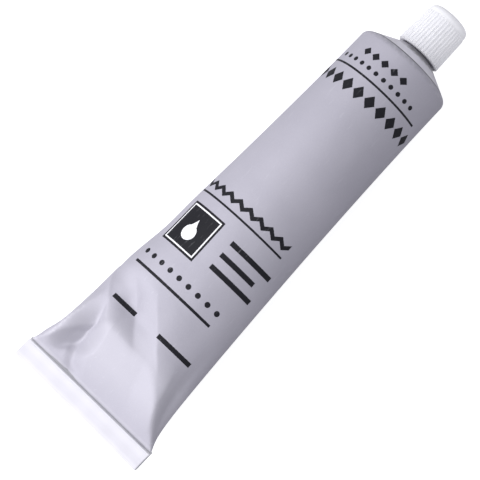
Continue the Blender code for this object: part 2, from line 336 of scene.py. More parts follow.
# Heights, places across and depths along each line, how far its left and right flanks reach, and the
# power by which the flanks ease out
CREASES = [
    # The tuck, a deep valley that climbs along the sleeve's left edge
    ((1.0, 2.5, 4, 6.5, 9.5, 12.6, 15.5, 19),
     (-13.4, -12.6, -11.0, -9.4, -9.4, -9.9, -10.6, -11.6),
     (0, -0.8, -1.9, -2.9, -3.1, -1.9, -0.8, 0), 4.4, 4.6, SOFT_FLANK),
    # Its second prong, which comes down to the fold
    ((0.2, 1.1, 2.5, 4.5, 6.5), (-7.0, -7.4, -8.0, -8.8, -9.2),
     (0, -0.45, -0.85, -0.6, 0), 2.0, 3.4, SOFT_FLANK),
    # The rim that the tuck pushed up at the edge
    ((1.5, 4, 8, 12, 18), (-15.0, -14.4, -13.7, -13.2, -12.6),
     (0, 0.5, 0.9, 0.7, 0), 2.0, 2.4, SOFT_FLANK),
    # The raised crease at the right, where the flat panel ends
    ((0.4, 2, 5, 8.4, 12, 17), (16.1, 14.8, 13.1, 12.0, 11.3, 10.2),
     (0, 0.25, 0.7, 0.9, 0.7, 0), 6.0, 2.4, SOFT_FLANK),
    # A shallow valley beside it, on the right flank
    ((1.5, 5, 10, 16, 24), (16.4, 15.6, 14.7, 14.3, 14.0),
     (0, -0.3, -0.45, -0.3, 0), 1.6, 2.2, SOFT_FLANK),
    # The slanting crease, where two nearly flat facets meet in a valley
    ((11.5, 14.0, 17.8, 21.0, 24.5), (2.4, -0.3, -3.9, -6.9, -10.0),
     (0, -1.2, -2.1, -1.4, 0), 7.6, 6.5, STRAIGHT_FLANK),
]


def eased(up_mm, heights, values):
    """Reads a value between the given heights, with the corners of its path rounded off."""
    steps = (-PATH_ROUND_MM, 0, PATH_ROUND_MM)
    return sum(np.interp(up_mm + step, heights, values) for step in steps) / len(steps)


def crease(across_mm, up_mm, heights, places, depths, left, right, ease):
    """A crease like those in sheet metal: tight along its line, with flanks that ease out."""
    off = across_mm - eased(up_mm, heights, places)
    far = np.hypot(off, CREASE_ROUND_MM) - CREASE_ROUND_MM
    flank = 1 - far / np.where(off < 0, left, right)
    return eased(up_mm, heights, depths) * np.clip(flank, 0, 1) ** ease


print(len(CREASES), "creases, the deepest", min(min(given[2]) for given in CREASES), "mm")

# %% [markdown]
# Fingers and the filling machine leave rounder marks: dents, and here and there a low bump. A brush in
# sculpt mode would leave such spots too, but without a number to change. On the sheet a dent is one
# line, so it can be moved by a millimetre and looked at again.

# %% Dents
# Middle (across, up), half size (across, up) and depth, from the fold upwards; the last two are
# towards the back
DENTS = [
    ((-6.4, 1.4), (0.7, 0.7), -0.08),
    ((-9.2, 1.7), (2.8, 1.6), -0.35),
    ((-17.0, 3.2), (3.0, 2.6), 0.35),
    ((13.0, 15.0), (1.6, 6.0), -0.12),
    ((1.0, 17.0), (2.6, 3.2), -0.22),
    ((-6.6, 18.2), (2.8, 3.2), -0.8),
    ((-15.5, 24.0), (3.5, 7.0), 0.3),
    ((9.0, 27.0), (3.0, 6.0), -0.12),
    ((-2.0, 34.0), (4.0, 5.0), -0.12),
    ((-14.5, 35.0), (3.5, 5.0), -0.25),
    ((9.5, 54.0), (2.6, 5.5), -0.09),
    ((4.0, 58.0), (5.0, 9.0), -0.06),
    ((11.0, 69.0), (2.2, 5.0), -0.10),
    ((-28.0, 30.0), (5.0, 7.0), -0.15),
    ((27.0, 48.0), (4.0, 8.0), -0.12),
]
SHEET_MM = (np.arange(COLUMNS + 1) / COLUMNS - 0.5) * 1000 * GIRTH


def dent(across_mm, up_mm, middle, size, depth):
    off_across = (across_mm - middle[0]) / size[0]
    off_up = (up_mm - middle[1]) / size[1]
    return depth * np.exp(-off_across ** 2 - off_up ** 2)


def handling_marks(across_mm, up_mm):
    """How far all creases and dents together move the sheet, in millimetres."""
    creases = sum(crease(across_mm, up_mm, *given) for given in CREASES)
    return creases + sum(dent(across_mm, up_mm, *given) for given in DENTS)


trial = handling_marks(SHEET_MM, np.arange(0, 30, 0.5)[:, None])
print(len(DENTS), "dents; all marks go from", round(trial.min(), 2), "to", round(trial.max(), 2), "mm")

# %% [markdown]
# Solidify could give the sleeve its wall, but on creases this deep the inner skin would cut through
# itself. So the rows go once round the wall: first the tongue that hides in the fold, then the sleeve
# outside, the rounded corner at the shoulder, and back down inside. The crumpled end has the closest
# rows, because creases need points.

# %% Rows of the sleeve
INNER_INSET = 0.0003
INSIDE_STOPS = 0.001
TONGUE = 0.0006
TONGUE_THINNER = 0.5
CRUMPLED_END = 0.024
CRUMPLED_ROWS = 80
SMOOTH_ROWS = 70
CORNER_RADIUS = 0.0015
CORNER_STEPS = 8
CORNER_SWEEP = math.pi / 2 - math.atan(SHOULDER_SLOPE)
CORNER_BASE = SLEEVE_LENGTH - CORNER_RADIUS * math.tan(CORNER_SWEEP / 2)
RIM_RADIUS = TUBE_RADIUS - CORNER_RADIUS * (1 - math.cos(CORNER_SWEEP))
RIM_HEIGHT = CORNER_BASE + CORNER_RADIUS * math.sin(CORNER_SWEEP)
RIM_TURNS_IN = ((0.0001, 0.00006), (0.0014, 0.00008))
HEIGHTS = list(np.linspace(0, CRUMPLED_END, CRUMPLED_ROWS, endpoint=False))
HEIGHTS += list(np.linspace(CRUMPLED_END, CORNER_BASE, SMOOTH_ROWS))


def sleeve_rows():
    """Each row is its height, its ring, and the share of the marks that it takes."""
    flat = sleeve_ring(0.0)
    rows = [(-TONGUE, flat.real + 1j * TONGUE_THINNER * flat.imag, 0.0)]
    rows += [(up, sleeve_ring(up), 1.0) for up in HEIGHTS]
    for turn in np.linspace(0, CORNER_SWEEP, CORNER_STEPS + 1)[1:]:
        radius = TUBE_RADIUS - CORNER_RADIUS * (1 - math.cos(turn))
        rows.append((CORNER_BASE + CORNER_RADIUS * math.sin(turn), circle_ring(radius), 0.0))
    for down, inward in RIM_TURNS_IN:
        rows.append((RIM_HEIGHT - down, circle_ring(RIM_RADIUS - inward), 0.0))
    rows += [(up, sleeve_ring(up, INNER_INSET), 1.0) for up in reversed(HEIGHTS) if up > INSIDE_STOPS]
    return rows


print(len(sleeve_rows()), "rows; the rim is", round(1000 * RIM_HEIGHT, 2), "mm up")

# %% [markdown]
# Real creases push the metal square to its surface. Moving points straight back would be simpler, but
# it would pinch the sides. So every point moves along its ring's own outward direction, and the two
# faces are never pushed through each other. The sharpness of the bend is measured too: paint rubs off
# first where metal is folded sharply, and the finish will ask for it.

# %% Pressing the marks into the rings
TINY = 1e-12


def neighbours(rings):
    """The next and the last point around each ring. The first and last columns are the same place."""
    return rings[:, np.r_[1:COLUMNS + 1, 1]], rings[:, np.r_[COLUMNS - 1, 0:COLUMNS]]


def pressed_rings(rows):
    rings = np.array([ring for _, ring, _ in rows])
    up_mm = 1000 * np.array([[up] for up, _, _ in rows])
    share = np.array([[share] for _, _, share in rows])
    push = handling_marks(SHEET_MM, up_mm) * share / 1000
    after, before = neighbours(rings)
    along = (after - before) / (np.abs(after - before) + TINY)
    pressed = rings - 1j * push * along
    face = np.sign(rings.imag)
    least = np.minimum(np.abs(rings.imag), FACES_APART)
    return pressed.real + 1j * face * np.maximum(face * pressed.imag, least)


def bend_of(rings):
    """How sharply the metal bends outwards around each ring, in radians per millimetre, smoothed."""
    after, before = neighbours(rings)
    turn = np.angle((after - rings) / (rings - before + TINY))
    half_way_mm = 500 * (np.abs(after - rings) + np.abs(rings - before))
    bend = np.maximum(turn, 0) / (half_way_mm + 1000 * TINY)
    for way in (0, 1):
        bend = (np.roll(bend, 1, way) + 2 * bend + np.roll(bend, -1, way)) / 4
    return bend


print("sharpest bend", round(bend_of(pressed_rings(sleeve_rows()[1:CRUMPLED_ROWS])).max(), 1), "per mm")

# %% [markdown]
# A tube could start as a cylinder, but a flat grid brings a UV map that is already a sheet. Every row
# of the grid becomes one ring, the UV map keeps the sheet's millimetres, ten centimetres to one unit,
# and merging the seam turns the grid into a closed skin.

# %% A grid rolled into rings
UV_MM = 100.0
SHEET_SHARP = 50


def keep_sheet_places(piece, across_mm, up_mm):
    corner = np.empty(len(piece.data.loops), dtype=np.int32)
    piece.data.loops.foreach_get("vertex_index", corner)
    sheet = np.stack([across_mm / UV_MM + 0.5, up_mm / UV_MM], 1)[corner]
    piece.data.uv_layers.active.data.foreach_set("uv", sheet.astype(np.float32).ravel())


def rolled_sheet(rows):
    """Rolls a flat grid into rings with the marks pressed in, and closes both ends."""
    clear_selection()
    last_row = len(rows) - 1
    bpy.ops.mesh.primitive_grid_add(x_subdivisions=COLUMNS, y_subdivisions=last_row, size=2)
    piece = bpy.context.object
    flat = points_of(piece)
    column = np.rint((flat[:, 0] + 1) / 2 * COLUMNS).astype(int)
    row = np.rint((flat[:, 1] + 1) / 2 * last_row).astype(int)
    rings = pressed_rings(rows)
    up = np.array([up for up, _, _ in rows])[row]
    place = rings[row, column]
    move_points(piece, np.stack([place.real, place.imag, up], 1))
    bend = piece.data.attributes.new("bend", "FLOAT", "POINT")
    bend.data.foreach_set("value", bend_of(rings)[row, column].astype(np.float32))
    keep_sheet_places(piece, SHEET_MM[column], 1000 * up)
    close_ends(piece)
    tidy(piece, SHEET_SHARP)
    return piece


print("one column of the sheet is", round(1000 * GIRTH / COLUMNS, 3), "mm wide")

# %% [markdown]
# Sleeve, folded end and shoulder are one piece of metal on the real tube, and could be one mesh. They
# are three pieces here, because each is shaped in another way and has its own finish. Together they
# stand for the CAD shell. The sleeve is the first.

# %% The sleeve
sleeve = rolled_sheet(sleeve_rows())
lay_down(sleeve, "sleeve", "tube", "tube_shell")

# %% [markdown]
# The glue fills the sleeve and follows every dent from inside, up through the nozzle. A bead of
# sealing compound closes the tapered end under it. A copy of the sleeve could be shrunk for both, but
# then the gap would be thinner at the fold. Rolling them from the same rings with an inset keeps it
# even.

# %% Glue and sealing bead
GLUE_INSET = 0.0006
GLUE_GAP = 0.0003
GLUE_FOOT = 0.004
GLUE_EDGE = 0.0011
BEAD_RANGE = (0.001, 0.0039)
BORE_FOOT = cone_height(BORE_RADIUS) - SHOULDER_WALL
FUNNEL = ((0.00054, 0.0002), (0.00014, -GLUE_GAP))
glue_top = [(SLEEVE_LENGTH - GLUE_GAP, TUBE_RADIUS - GLUE_EDGE)]
glue_top += [(BORE_FOOT - below, BORE_RADIUS + wider) for below, wider in FUNNEL]
glue_top += [(NOZZLE_TIP - GLUE_GAP, BORE_RADIUS - GLUE_GAP)]
glue_rows = [(up, sleeve_ring(up, GLUE_INSET), 1.0) for up in HEIGHTS if up > GLUE_FOOT]
glue_rows += [(up, circle_ring(radius), 0.0) for up, radius in glue_top]
glue = rolled_sheet(glue_rows)
lay_down(glue, "glue_filling", "tube", "adhesive")
bead_heights = [up for up in HEIGHTS if BEAD_RANGE[0] < up < BEAD_RANGE[1]]
bead = rolled_sheet([(up, sleeve_ring(up, GLUE_INSET), 1.0) for up in bead_heights])
lay_down(bead, "sealing_bead", "tube", "end_seal")

# %% [markdown]
# The end of a metal tube is closed by folding the flattened wall over twice. A plain bar would hide
# that, so the wall is folded here as the machine does it: a strip goes down, is spun half a turn
# about the lower fold, goes up the front, is spun about the upper fold, and goes down again inside.

# %% Folding the end
FOLD_HEIGHT = 0.005
FOLD_FILM = 0.00006
PLY = 2 * SLEEVE_WALL + FOLD_FILM
FOLD_STEP = PLY + FOLD_FILM
FOLD_FOOT = PLY / 2 + FOLD_STEP - FOLD_HEIGHT
FOLD_TOP = -(PLY + FOLD_STEP / 2)
FOLD_HALF_WIDTH = FLAT_HALF_WIDTH + SLEEVE_WALL / 2
STRIP_TOP = 0.0003
STRIP_COLUMNS = 96
STRIP_ROWS = 8


def run_strip(rise, steps):
    """Extrudes the selected row straight up or down, in even steps."""
    for _ in range(steps):
        bpy.ops.mesh.extrude_region_move(TRANSFORM_OT_translate={"value": (0, 0, rise / steps)})


def turn_strip(depth, height, steps):
    """Spins the selected row half a turn about a line across the tube."""
    bpy.ops.mesh.spin(steps=steps, angle=math.pi, center=(0, depth, height), axis=(1, 0, 0))


clear_selection()
bpy.ops.mesh.primitive_grid_add(x_subdivisions=STRIP_COLUMNS, y_subdivisions=STRIP_ROWS, size=2)
fold = bpy.context.object
strip = points_of(fold)
strip_up = STRIP_TOP + (strip[:, 1] + 1) / 2 * (FOLD_FOOT - STRIP_TOP)
move_points(fold, np.stack([strip[:, 0] * FOLD_HALF_WIDTH, 0 * strip_up, strip_up], 1))
pick(fold, "VERT", np.abs(points_of(fold)[:, 2] - FOLD_FOOT) < MERGE / 10)
# The first turn lands two steps in front of the sleeve's middle, and the second comes back one.
turn_strip(FOLD_STEP, FOLD_FOOT, steps=8)
run_strip(FOLD_TOP - FOLD_FOOT, steps=8)
turn_strip(1.5 * FOLD_STEP, FOLD_TOP, steps=6)
run_strip(FOLD_FOOT - FOLD_TOP, steps=4)
bpy.ops.object.mode_set(mode="OBJECT")
print("folded strip spans", np.round(1000 * np.ptp(points_of(fold), axis=0), 2), "mm")

# %% [markdown]
# Pressed metal is never quite straight. A bump in the finish would leave its outline ruled, so the
# folded strip gets faint waves before it gets its thickness. Solidify makes it two sheets thick, as
# the flattened wall is, and a small bevel rounds the cut edges.

# %% Thickness and waves of the folded end
WAVE_DEPTH = 0.00004
WAVE_HEIGHT = 0.00003
# Waves in radians per millimetre across
SHORT_WAVE = 0.9
SHORT_WAVE_START = 0.7
LONG_WAVE = 0.37
FOOT_WAVE = 0.55
FOLD_EDGE_ROUND = 0.00005
waved = points_of(fold)
x_mm = 1000 * waved[:, 0]
outside = np.clip(waved[:, 1] / (2 * FOLD_STEP), 0, 1)
towards_foot = np.clip(-waved[:, 2] / FOLD_HEIGHT, 0, 1)
ripples = np.sin(SHORT_WAVE * x_mm + SHORT_WAVE_START) * np.cos(LONG_WAVE * x_mm)
waved[:, 1] -= WAVE_DEPTH * outside * (1 + ripples)
waved[:, 2] += WAVE_HEIGHT * towards_foot * np.sin(FOOT_WAVE * x_mm)
move_points(fold, waved)
apply_modifier(fold, "SOLIDIFY", thickness=PLY, offset=0.0)
round_edges(fold, FOLD_EDGE_ROUND, sharper_than=50)
tidy(fold)
lay_down(fold, "folded_end", "tube", "tube_shell")

# %% [markdown]
# Shoulder, nozzle and cap are turned shapes. They could be lathed with Spin from a drawn profile.
# Here a circle is extruded ring by ring and each new ring is scaled, which is how it goes by hand
# and keeps every ring where the profile says. A closed profile comes back to its first ring.

# %% A lathe of rings
def turned(profile, columns, closed=False):
    """Extrudes a circle through (radius, height) pairs, and closes it on itself or with end faces."""
    clear_selection()
    radius, height = profile[0]
    bpy.ops.mesh.primitive_circle_add(
        vertices=columns, radius=radius, location=(0, 0, height), fill_type="NOTHING")
    piece = bpy.context.object
    bpy.ops.object.transform_apply(location=True)
    bpy.ops.object.mode_set(mode="EDIT")
    bpy.ops.mesh.select_all(action="SELECT")
    if not closed:
        bpy.ops.mesh.edge_face_add()
        bpy.ops.mesh.select_mode(type="EDGE")
        bpy.ops.mesh.select_all(action="SELECT")
    for next_radius, next_height in profile[1:] + profile[:1 if closed else 0]:
        bpy.ops.mesh.extrude_edges_move(TRANSFORM_OT_translate={"value": (0, 0, next_height - height)})
        grow = next_radius / radius
        bpy.ops.transform.resize(value=(grow, grow, 1), center_override=(0, 0, next_height))
        radius, height = next_radius, next_height
    if not closed:
        bpy.ops.mesh.edge_face_add()
    bpy.ops.object.mode_set(mode="OBJECT")
    tidy(piece)
    return piece


def arc(middle, radius, start, end, steps):
    """Points of a rounded corner, as (radius, height) pairs. Angles are in degrees."""
    turns = np.radians(np.linspace(start, end, steps + 1))
    return [(middle[0] + radius * math.cos(turn), middle[1] + radius * math.sin(turn)) for turn in turns]


print("a quarter round:", np.round(arc((0, 0), 1, 0, 90, steps=2), 2).tolist())

# %% [markdown]
# The shoulder is the same metal as the sleeve but thicker and left bare. Its cone runs up to the
# nozzle through a small fillet, the lip of the nozzle is rounded, and the bore goes back down inside.
# A cone and a pipe could be joined, but the joint would show. One closed profile on the lathe gives
# all of it at once.

# %% Shoulder and nozzle
SHOULDER_COLUMNS = 192
EDGE_GAP = 0.00025
EDGE_ROUND = 0.00006
CONE_RINGS = 14
NECK_FILLET = 0.0005
NECK_LIP = 0.0003
BORE_LIP = 0.0002
NECK_BASE = cone_height(NECK_RADIUS)
SHOULDER_EDGE = RIM_RADIUS - EDGE_GAP
edge_height = cone_height(SHOULDER_EDGE)
cone = np.linspace(SHOULDER_EDGE - 2 * EDGE_ROUND, NECK_RADIUS + 1.2 * NECK_FILLET, CONE_RINGS)
fillet = (NECK_RADIUS + NECK_FILLET, NECK_BASE + 0.8 * NECK_FILLET)
profile = [(SHOULDER_EDGE, edge_height - SHOULDER_WALL), (SHOULDER_EDGE, edge_height - EDGE_ROUND)]
profile += [(radius, cone_height(radius)) for radius in cone]
profile += arc(fillet, NECK_FILLET, 180 + math.degrees(CORNER_SWEEP), 180, steps=5)
profile += [(NECK_RADIUS, NOZZLE_TIP - NECK_LIP)]
profile += [(NECK_RADIUS - NECK_LIP / 3, NOZZLE_TIP - NECK_LIP / 3)]
profile += [(NECK_RADIUS - NECK_LIP, NOZZLE_TIP)]
profile += [(BORE_RADIUS + BORE_LIP, NOZZLE_TIP), (BORE_RADIUS, NOZZLE_TIP - BORE_LIP)]
profile += [(BORE_RADIUS, BORE_FOOT)]
shoulder = turned(profile, SHOULDER_COLUMNS, closed=True)
print("shoulder and nozzle stand", round(1000 * (NOZZLE_TIP - profile[0][1]), 2), "mm high")

# %% [markdown]
# A thread is rolled on the nozzle, and the cap has one to match. A texture of slanting lines would
# leave the outline smooth, so the ridge is real: the Screw modifier sweeps a small circle up the
# helix. Both ends sink into the wall, as a rolled thread runs out.

# %% Threads
PITCH = 0.002
WIRE_SIDES = 10
STEPS_PER_TURN = 48
RUNOUT_TURNS = 0.2
RUNOUT_SINK = 0.0006
NECK_THREAD_MARGIN = 0.0012


def thread_ridge(radius, start, end, phase, sink):
    """A round ridge up a helix. Its ends run out into a neck (sink -1) or into a cap (sink 1)."""
    turns = (end - start) / PITCH
    clear_selection()
    bpy.ops.mesh.primitive_circle_add(
        vertices=WIRE_SIDES, radius=THREAD_WIRE, location=(radius, 0, start), rotation=(math.pi / 2, 0, 0))
    ridge = bpy.context.object
    bpy.ops.object.transform_apply(location=True, rotation=True)
    steps = round(STEPS_PER_TURN * turns)
    apply_modifier(ridge, "SCREW", axis="Z", angle=2 * math.pi * turns, screw_offset=end - start,
                   steps=steps, render_steps=steps)
    close_ends(ridge)
    swept = points_of(ridge)
    turn = np.arctan2(swept[:, 1], swept[:, 0])
    part_turn = turn / (2 * math.pi)
    along = np.rint((swept[:, 2] - start) / PITCH - part_turn) + part_turn
    runout = np.clip(1 - np.minimum(along, turns - along) / RUNOUT_TURNS, 0, 1)
    reach = np.hypot(swept[:, 0], swept[:, 1]) + sink * RUNOUT_SINK * runout
    spiral = reach * np.exp(1j * (turn + phase))
    move_points(ridge, np.stack([spiral.real, spiral.imag, swept[:, 2]], 1))
    tidy(ridge)
    return ridge


neck_start = NECK_BASE + NECK_THREAD_MARGIN
neck_end = NOZZLE_TIP - NECK_THREAD_MARGIN
join_to(shoulder, thread_ridge(NECK_RADIUS, neck_start, neck_end, phase=0.0, sink=-1))
lay_down(shoulder, "shoulder_and_nozzle", "tube", "tube_shell")
print("the nozzle's thread has", round((neck_end - neck_start) / PITCH, 2), "turns")

# %% [markdown]
# A small foil disc is welded over the nozzle until first use. Its rim lies flat over the nozzle's
# tip, and its middle is drawn a little into the bore. A plain cylinder would look like a coin, so both
# faces are turned on the lathe with that dip.

# %% Foil over the nozzle
FOIL_COLUMNS = 72
FOIL_EDGE = 0.00003
FOIL_CHAMFER = 0.0001
FOIL_RIM = NECK_RADIUS - NECK_LIP
FOIL_TOP = FOIL_BASE + FOIL_THICKNESS
# Radius and depth of the dip, outwards on the underside and back inwards on top
DIP_BELOW = ((0.0002, 0.00016), (0.0009, 0.00014), (0.0016, 0.00006), (BORE_RADIUS, 0.0))
DIP_ABOVE = ((0.0020, 0.0), (0.0017, 0.00005), (0.0009, 0.00014), (0.0002, 0.00016))
foil_profile = [(radius, FOIL_BASE - dip) for radius, dip in DIP_BELOW]
foil_profile += [(FOIL_RIM - FOIL_CHAMFER, FOIL_BASE), (FOIL_RIM, FOIL_BASE + FOIL_EDGE)]
foil_profile += [(FOIL_RIM, FOIL_TOP - FOIL_EDGE), (FOIL_RIM - 2 * FOIL_EDGE, FOIL_TOP)]
foil_profile += [(radius, FOIL_TOP - dip) for radius, dip in DIP_ABOVE]
foil = turned(foil_profile, FOIL_COLUMNS)
lay_down(foil, "nozzle_seal", "tube", "nozzle_foil")

# %% [markdown]
# The cap is moulded white plastic, a little narrower at its rounded top. A cylinder with a drilled
# hole would need a Boolean, which leaves long thin faces. The lathe turns bore, mouth, side and top in
# one profile instead, with two columns for each rib, so that every second tall face of the side can
# become a rib.

# %% Cap body
RIB_COUNT = 40
RIB_HEIGHT = 0.00018
RIB_END = 0.0004
CAP_TAPER = 0.0002
CAP_EDGE = 0.0014
MOUTH_CHAMFER = (0.00035, 0.0004)
FOOT_CHAMFER = (0.00015, 0.0002)
ROOF_ROUND = 0.0003
ROOF_MIDDLE = 0.0006
# Radius and depth of the slight hollow in the top
TOP_DISH = ((0.0024, 0.00002), (0.0012, 0.00005), (0.0004, 0.00006))
ROOT_BASE = CAP_RADIUS - RIB_HEIGHT
ROOT_TOP = ROOT_BASE - CAP_TAPER
SIDE_TOP = CAP_TOP - CAP_EDGE
RIB_TOP = SIDE_TOP - RIB_END


def root_at(height):
    """The cap's radius between its ribs."""
    return ROOT_BASE - CAP_TAPER * (height - CAP_BASE) / (SIDE_TOP - CAP_BASE)


cap_profile = [(ROOF_MIDDLE, CAP_ROOF), (CAP_BORE - ROOF_ROUND, CAP_ROOF)]
cap_profile += [(CAP_BORE, CAP_ROOF - ROOF_ROUND)]
cap_profile += [(CAP_BORE, CAP_BASE + MOUTH_CHAMFER[1]), (CAP_BORE + MOUTH_CHAMFER[0], CAP_BASE)]
cap_profile += [(ROOT_BASE - FOOT_CHAMFER[0], CAP_BASE), (ROOT_BASE, CAP_BASE + FOOT_CHAMFER[1])]
cap_profile += [(root_at(RIB_TOP), RIB_TOP)]
cap_profile += arc((ROOT_TOP - CAP_EDGE, SIDE_TOP), CAP_EDGE, 0, 90, steps=10)
cap_profile += [(radius, CAP_TOP - dish) for radius, dish in TOP_DISH]
cap = turned(cap_profile, 2 * RIB_COUNT)
print("cap body", len(cap.data.polygons), "faces")

# %% [markdown]
# Forty fine ribs give grip and stop short of the smooth top. They could be forty boxes, but those
# would only stick in the side. Every second tall face is inset and raised in one step instead, so
# ribs and body are one skin, and the ends of the ribs slope as a mould needs.

# %% Ribs of the cap
RIB_INSET = 0.00005
FROM_ENDS = 0.002
UPPER_ENDS = RIB_TOP - 0.001
LOWER_ENDS = CAP_BASE + 0.0012
UPPER_SLOPE = 0.00035
LOWER_SLOPE = 0.00015
MIDDLE_OF_WALL = CAP_BORE + CAP_WALL / 2


def is_rib(face):
    x, y, height = face.center
    tall = CAP_BASE + FROM_ENDS < height < RIB_TOP - FROM_ENDS and math.hypot(x, y) > MIDDLE_OF_WALL
    column = math.floor(math.atan2(y, x) / math.pi * RIB_COUNT)
    return tall and column % 2 == 0


rib_faces = np.array([is_rib(face) for face in cap.data.polygons])
pick(cap, "FACE", rib_faces)
bpy.ops.mesh.inset(use_individual=True, thickness=RIB_INSET, depth=RIB_HEIGHT)
bpy.ops.object.mode_set(mode="OBJECT")
ribbed = points_of(cap)
height = ribbed[:, 2].copy()
on_crest = np.hypot(ribbed[:, 0], ribbed[:, 1]) > root_at(height) + RIB_HEIGHT / 2
ribbed[on_crest & (height > UPPER_ENDS), 2] -= UPPER_SLOPE
ribbed[on_crest & (height < LOWER_ENDS), 2] -= LOWER_SLOPE
move_points(cap, ribbed)
print(rib_faces.sum(), "ribs,", on_crest.sum(), "crest points")

# %% [markdown]
# A mould leaves no sharp edge. Smooth shading could hide that, but only a real bevel catches a line of
# light, so a small one rounds every edge. The cap's thread is the same ridge as the nozzle's, wider
# and half a pitch higher, so that each lies in the other's groove.

# %% Soften the cap and thread it
MOULD_RADIUS = 0.00006
CAP_SHARP = 40
CAP_THREAD_MARGIN = 0.0016
round_edges(cap, MOULD_RADIUS, sharper_than=22)
tidy(cap, CAP_SHARP)
cap_start = CAP_BASE + CAP_THREAD_MARGIN
cap_end = LINER_BASE - CAP_THREAD_MARGIN
cap_phase = 2 * math.pi * ((cap_start - neck_start) / PITCH - 0.5)
join_to(cap, thread_ridge(CAP_BORE, cap_start, cap_end, cap_phase, sink=1))
lay_down(cap, "ribbed_cap", "cap", "screw_cap")

# %% [markdown]
# A foam liner lies in the cap and takes the print of the nozzle's rim. The print could be a bump in
# the finish, but it is deep enough to catch light, so a ring-shaped dent is part of the profile.

# %% Cap liner
LINER_COLUMNS = 96
LINER_GAP = 0.0001
LINER_ROUND_BELOW = 0.00012
LINER_ROUND_ABOVE = 0.0001
# Radius and depth of the ring that the nozzle presses into the underside
RIM_PRINT = ((0.0003, 0.0), (0.0016, 0.0), (0.00195, 0.00012), (0.0026, 0.00012), (0.00295, 0.0))
LINER_RIM = CAP_BORE - LINER_GAP
LINER_TOP = LINER_BASE + LINER_THICKNESS
below = (LINER_RIM - LINER_ROUND_BELOW, LINER_BASE + LINER_ROUND_BELOW)
above = (LINER_RIM - LINER_ROUND_ABOVE, LINER_TOP - LINER_ROUND_ABOVE)
liner_profile = [(radius, LINER_BASE + pressed) for radius, pressed in RIM_PRINT]
liner_profile += arc(below, LINER_ROUND_BELOW, 270, 360, steps=4)
liner_profile += arc(above, LINER_ROUND_ABOVE, 0, 90, steps=3)
liner_profile += [(RIM_PRINT[0][0], LINER_TOP)]
liner = turned(liner_profile, LINER_COLUMNS)
lay_down(liner, "foam_liner", "liner", "cap_liner")

# %% [markdown]
# Finishes are built from nodes. They could be wired one by one in the shader editor, but in a script
# that is hard to read. A small class holds one node tree and gives each sum a short name. Every sum
# takes numbers or sockets and hands back a socket, so sums can be put inside each other.

# %% Sums with nodes
class Sums:
    """Adds nodes that calculate to one node tree, and wires them."""

    def __init__(self, tree):
        self.tree = tree

    def add(self, kind, **settings):
        made = self.tree.nodes.new(kind)
        for name, value in settings.items():
            setattr(made, name, value)
        return made

    def feed(self, value, socket):
        """Wires a socket, or sets a plain number or colour."""
        if isinstance(value, bpy.types.NodeSocket):
            self.tree.links.new(value, socket)
        else:
            socket.default_value = value

    def calc(self, operation, first, second=0.0):
        made = self.add("ShaderNodeMath", operation=operation)
        self.feed(first, made.inputs[0])
        self.feed(second, made.inputs[1])
        return made.outputs[0]

    def plus(self, first, second):
        return self.calc("ADD", first, second)

    def minus(self, first, second):
        return self.calc("SUBTRACT", first, second)

    def times(self, first, second):
        return self.calc("MULTIPLY", first, second)

    def over(self, first, second):
        return self.calc("DIVIDE", first, second)

    def size(self, value):
        return self.calc("ABSOLUTE", value)

    def below(self, value, limit):
        return self.calc("LESS_THAN", value, limit)

    def either(self, first, second):
        return self.calc("MAXIMUM", first, second)

    def reach(self, x, y):
        """How far a place is from the middle."""
        return self.calc("SQRT", self.plus(self.times(x, x), self.times(y, y)))

    def split(self, vector):
        made = self.add("ShaderNodeSeparateXYZ")
        self.feed(vector, made.inputs[0])
        return made.outputs


print("sums:", ", ".join(name for name in vars(Sums) if not name.startswith("_")))

# %% [markdown]
# The other steps are the painter's: where a point is, how much of something it gets, which colour that
# is, and how high it stands. They are added to the same class, so that a finish reads like a recipe.

# %% Steps of a painter
# A Mix node lists its sockets for numbers and vectors first, so those for colours go by their place.
MIX_FIRST, MIX_SECOND, MIX_RESULT = 6, 7, 2
NOISE_RANGE = (0.3, 0.7)
RANGE_SOCKETS = ("From Min", "From Max", "To Min", "To Max")


class Wiring(Sums):
    """Adds nodes that place, mask, colour and raise."""

    def upright(self):
        """Where a point stood on the upright tube, in millimetres."""
        return self.add("ShaderNodeAttribute", attribute_name="upright").outputs["Vector"]

    def spread(self, value, low, high, to_low=0.0, to_high=1.0):
        """Turns the range from low to high into another, and stops at its ends."""
        made = self.add("ShaderNodeMapRange", clamp=True)
        self.feed(value, made.inputs["Value"])
        for socket, number in zip(RANGE_SOCKETS, (low, high, to_low, to_high)):
            made.inputs[socket].default_value = number
        return made.outputs["Result"]

    def widened(self, noise, to_low=0.0, to_high=1.0):
        """Noise seldom leaves its middle, so that part is spread over the whole range."""
        return self.spread(noise, *NOISE_RANGE, to_low, to_high)

    def blend(self, mask, first, second):
        made = self.add("ShaderNodeMix", data_type="RGBA", clamp_factor=True)
        self.feed(mask, made.inputs["Factor"])
        self.feed(first, made.inputs[MIX_FIRST])
        self.feed(second, made.inputs[MIX_SECOND])
        return made.outputs[MIX_RESULT]

    def tint(self, paint, mask, colour, strength):
        """Lays a thin colour over the paint where the mask is."""
        return self.blend(self.times(mask, strength), paint, colour)

    def noise(self, place, scale, detail=3.0, roughness=0.5):
        made = self.add("ShaderNodeTexNoise")
        self.feed(place, made.inputs["Vector"])
        self.feed(scale, made.inputs["Scale"])
        made.inputs["Detail"].default_value = detail
        made.inputs["Roughness"].default_value = roughness
        return made.outputs["Fac"]

    def bump(self, height, distance, strength, normal=None):
        made = self.add("ShaderNodeBump")
        made.inputs["Strength"].default_value = strength
        made.inputs["Distance"].default_value = distance
        self.feed(height, made.inputs["Height"])
        if normal is not None:
            self.feed(normal, made.inputs["Normal"])
        return made.outputs["Normal"]


print("steps:", ", ".join(name for name in vars(Wiring) if not name.startswith("_")))

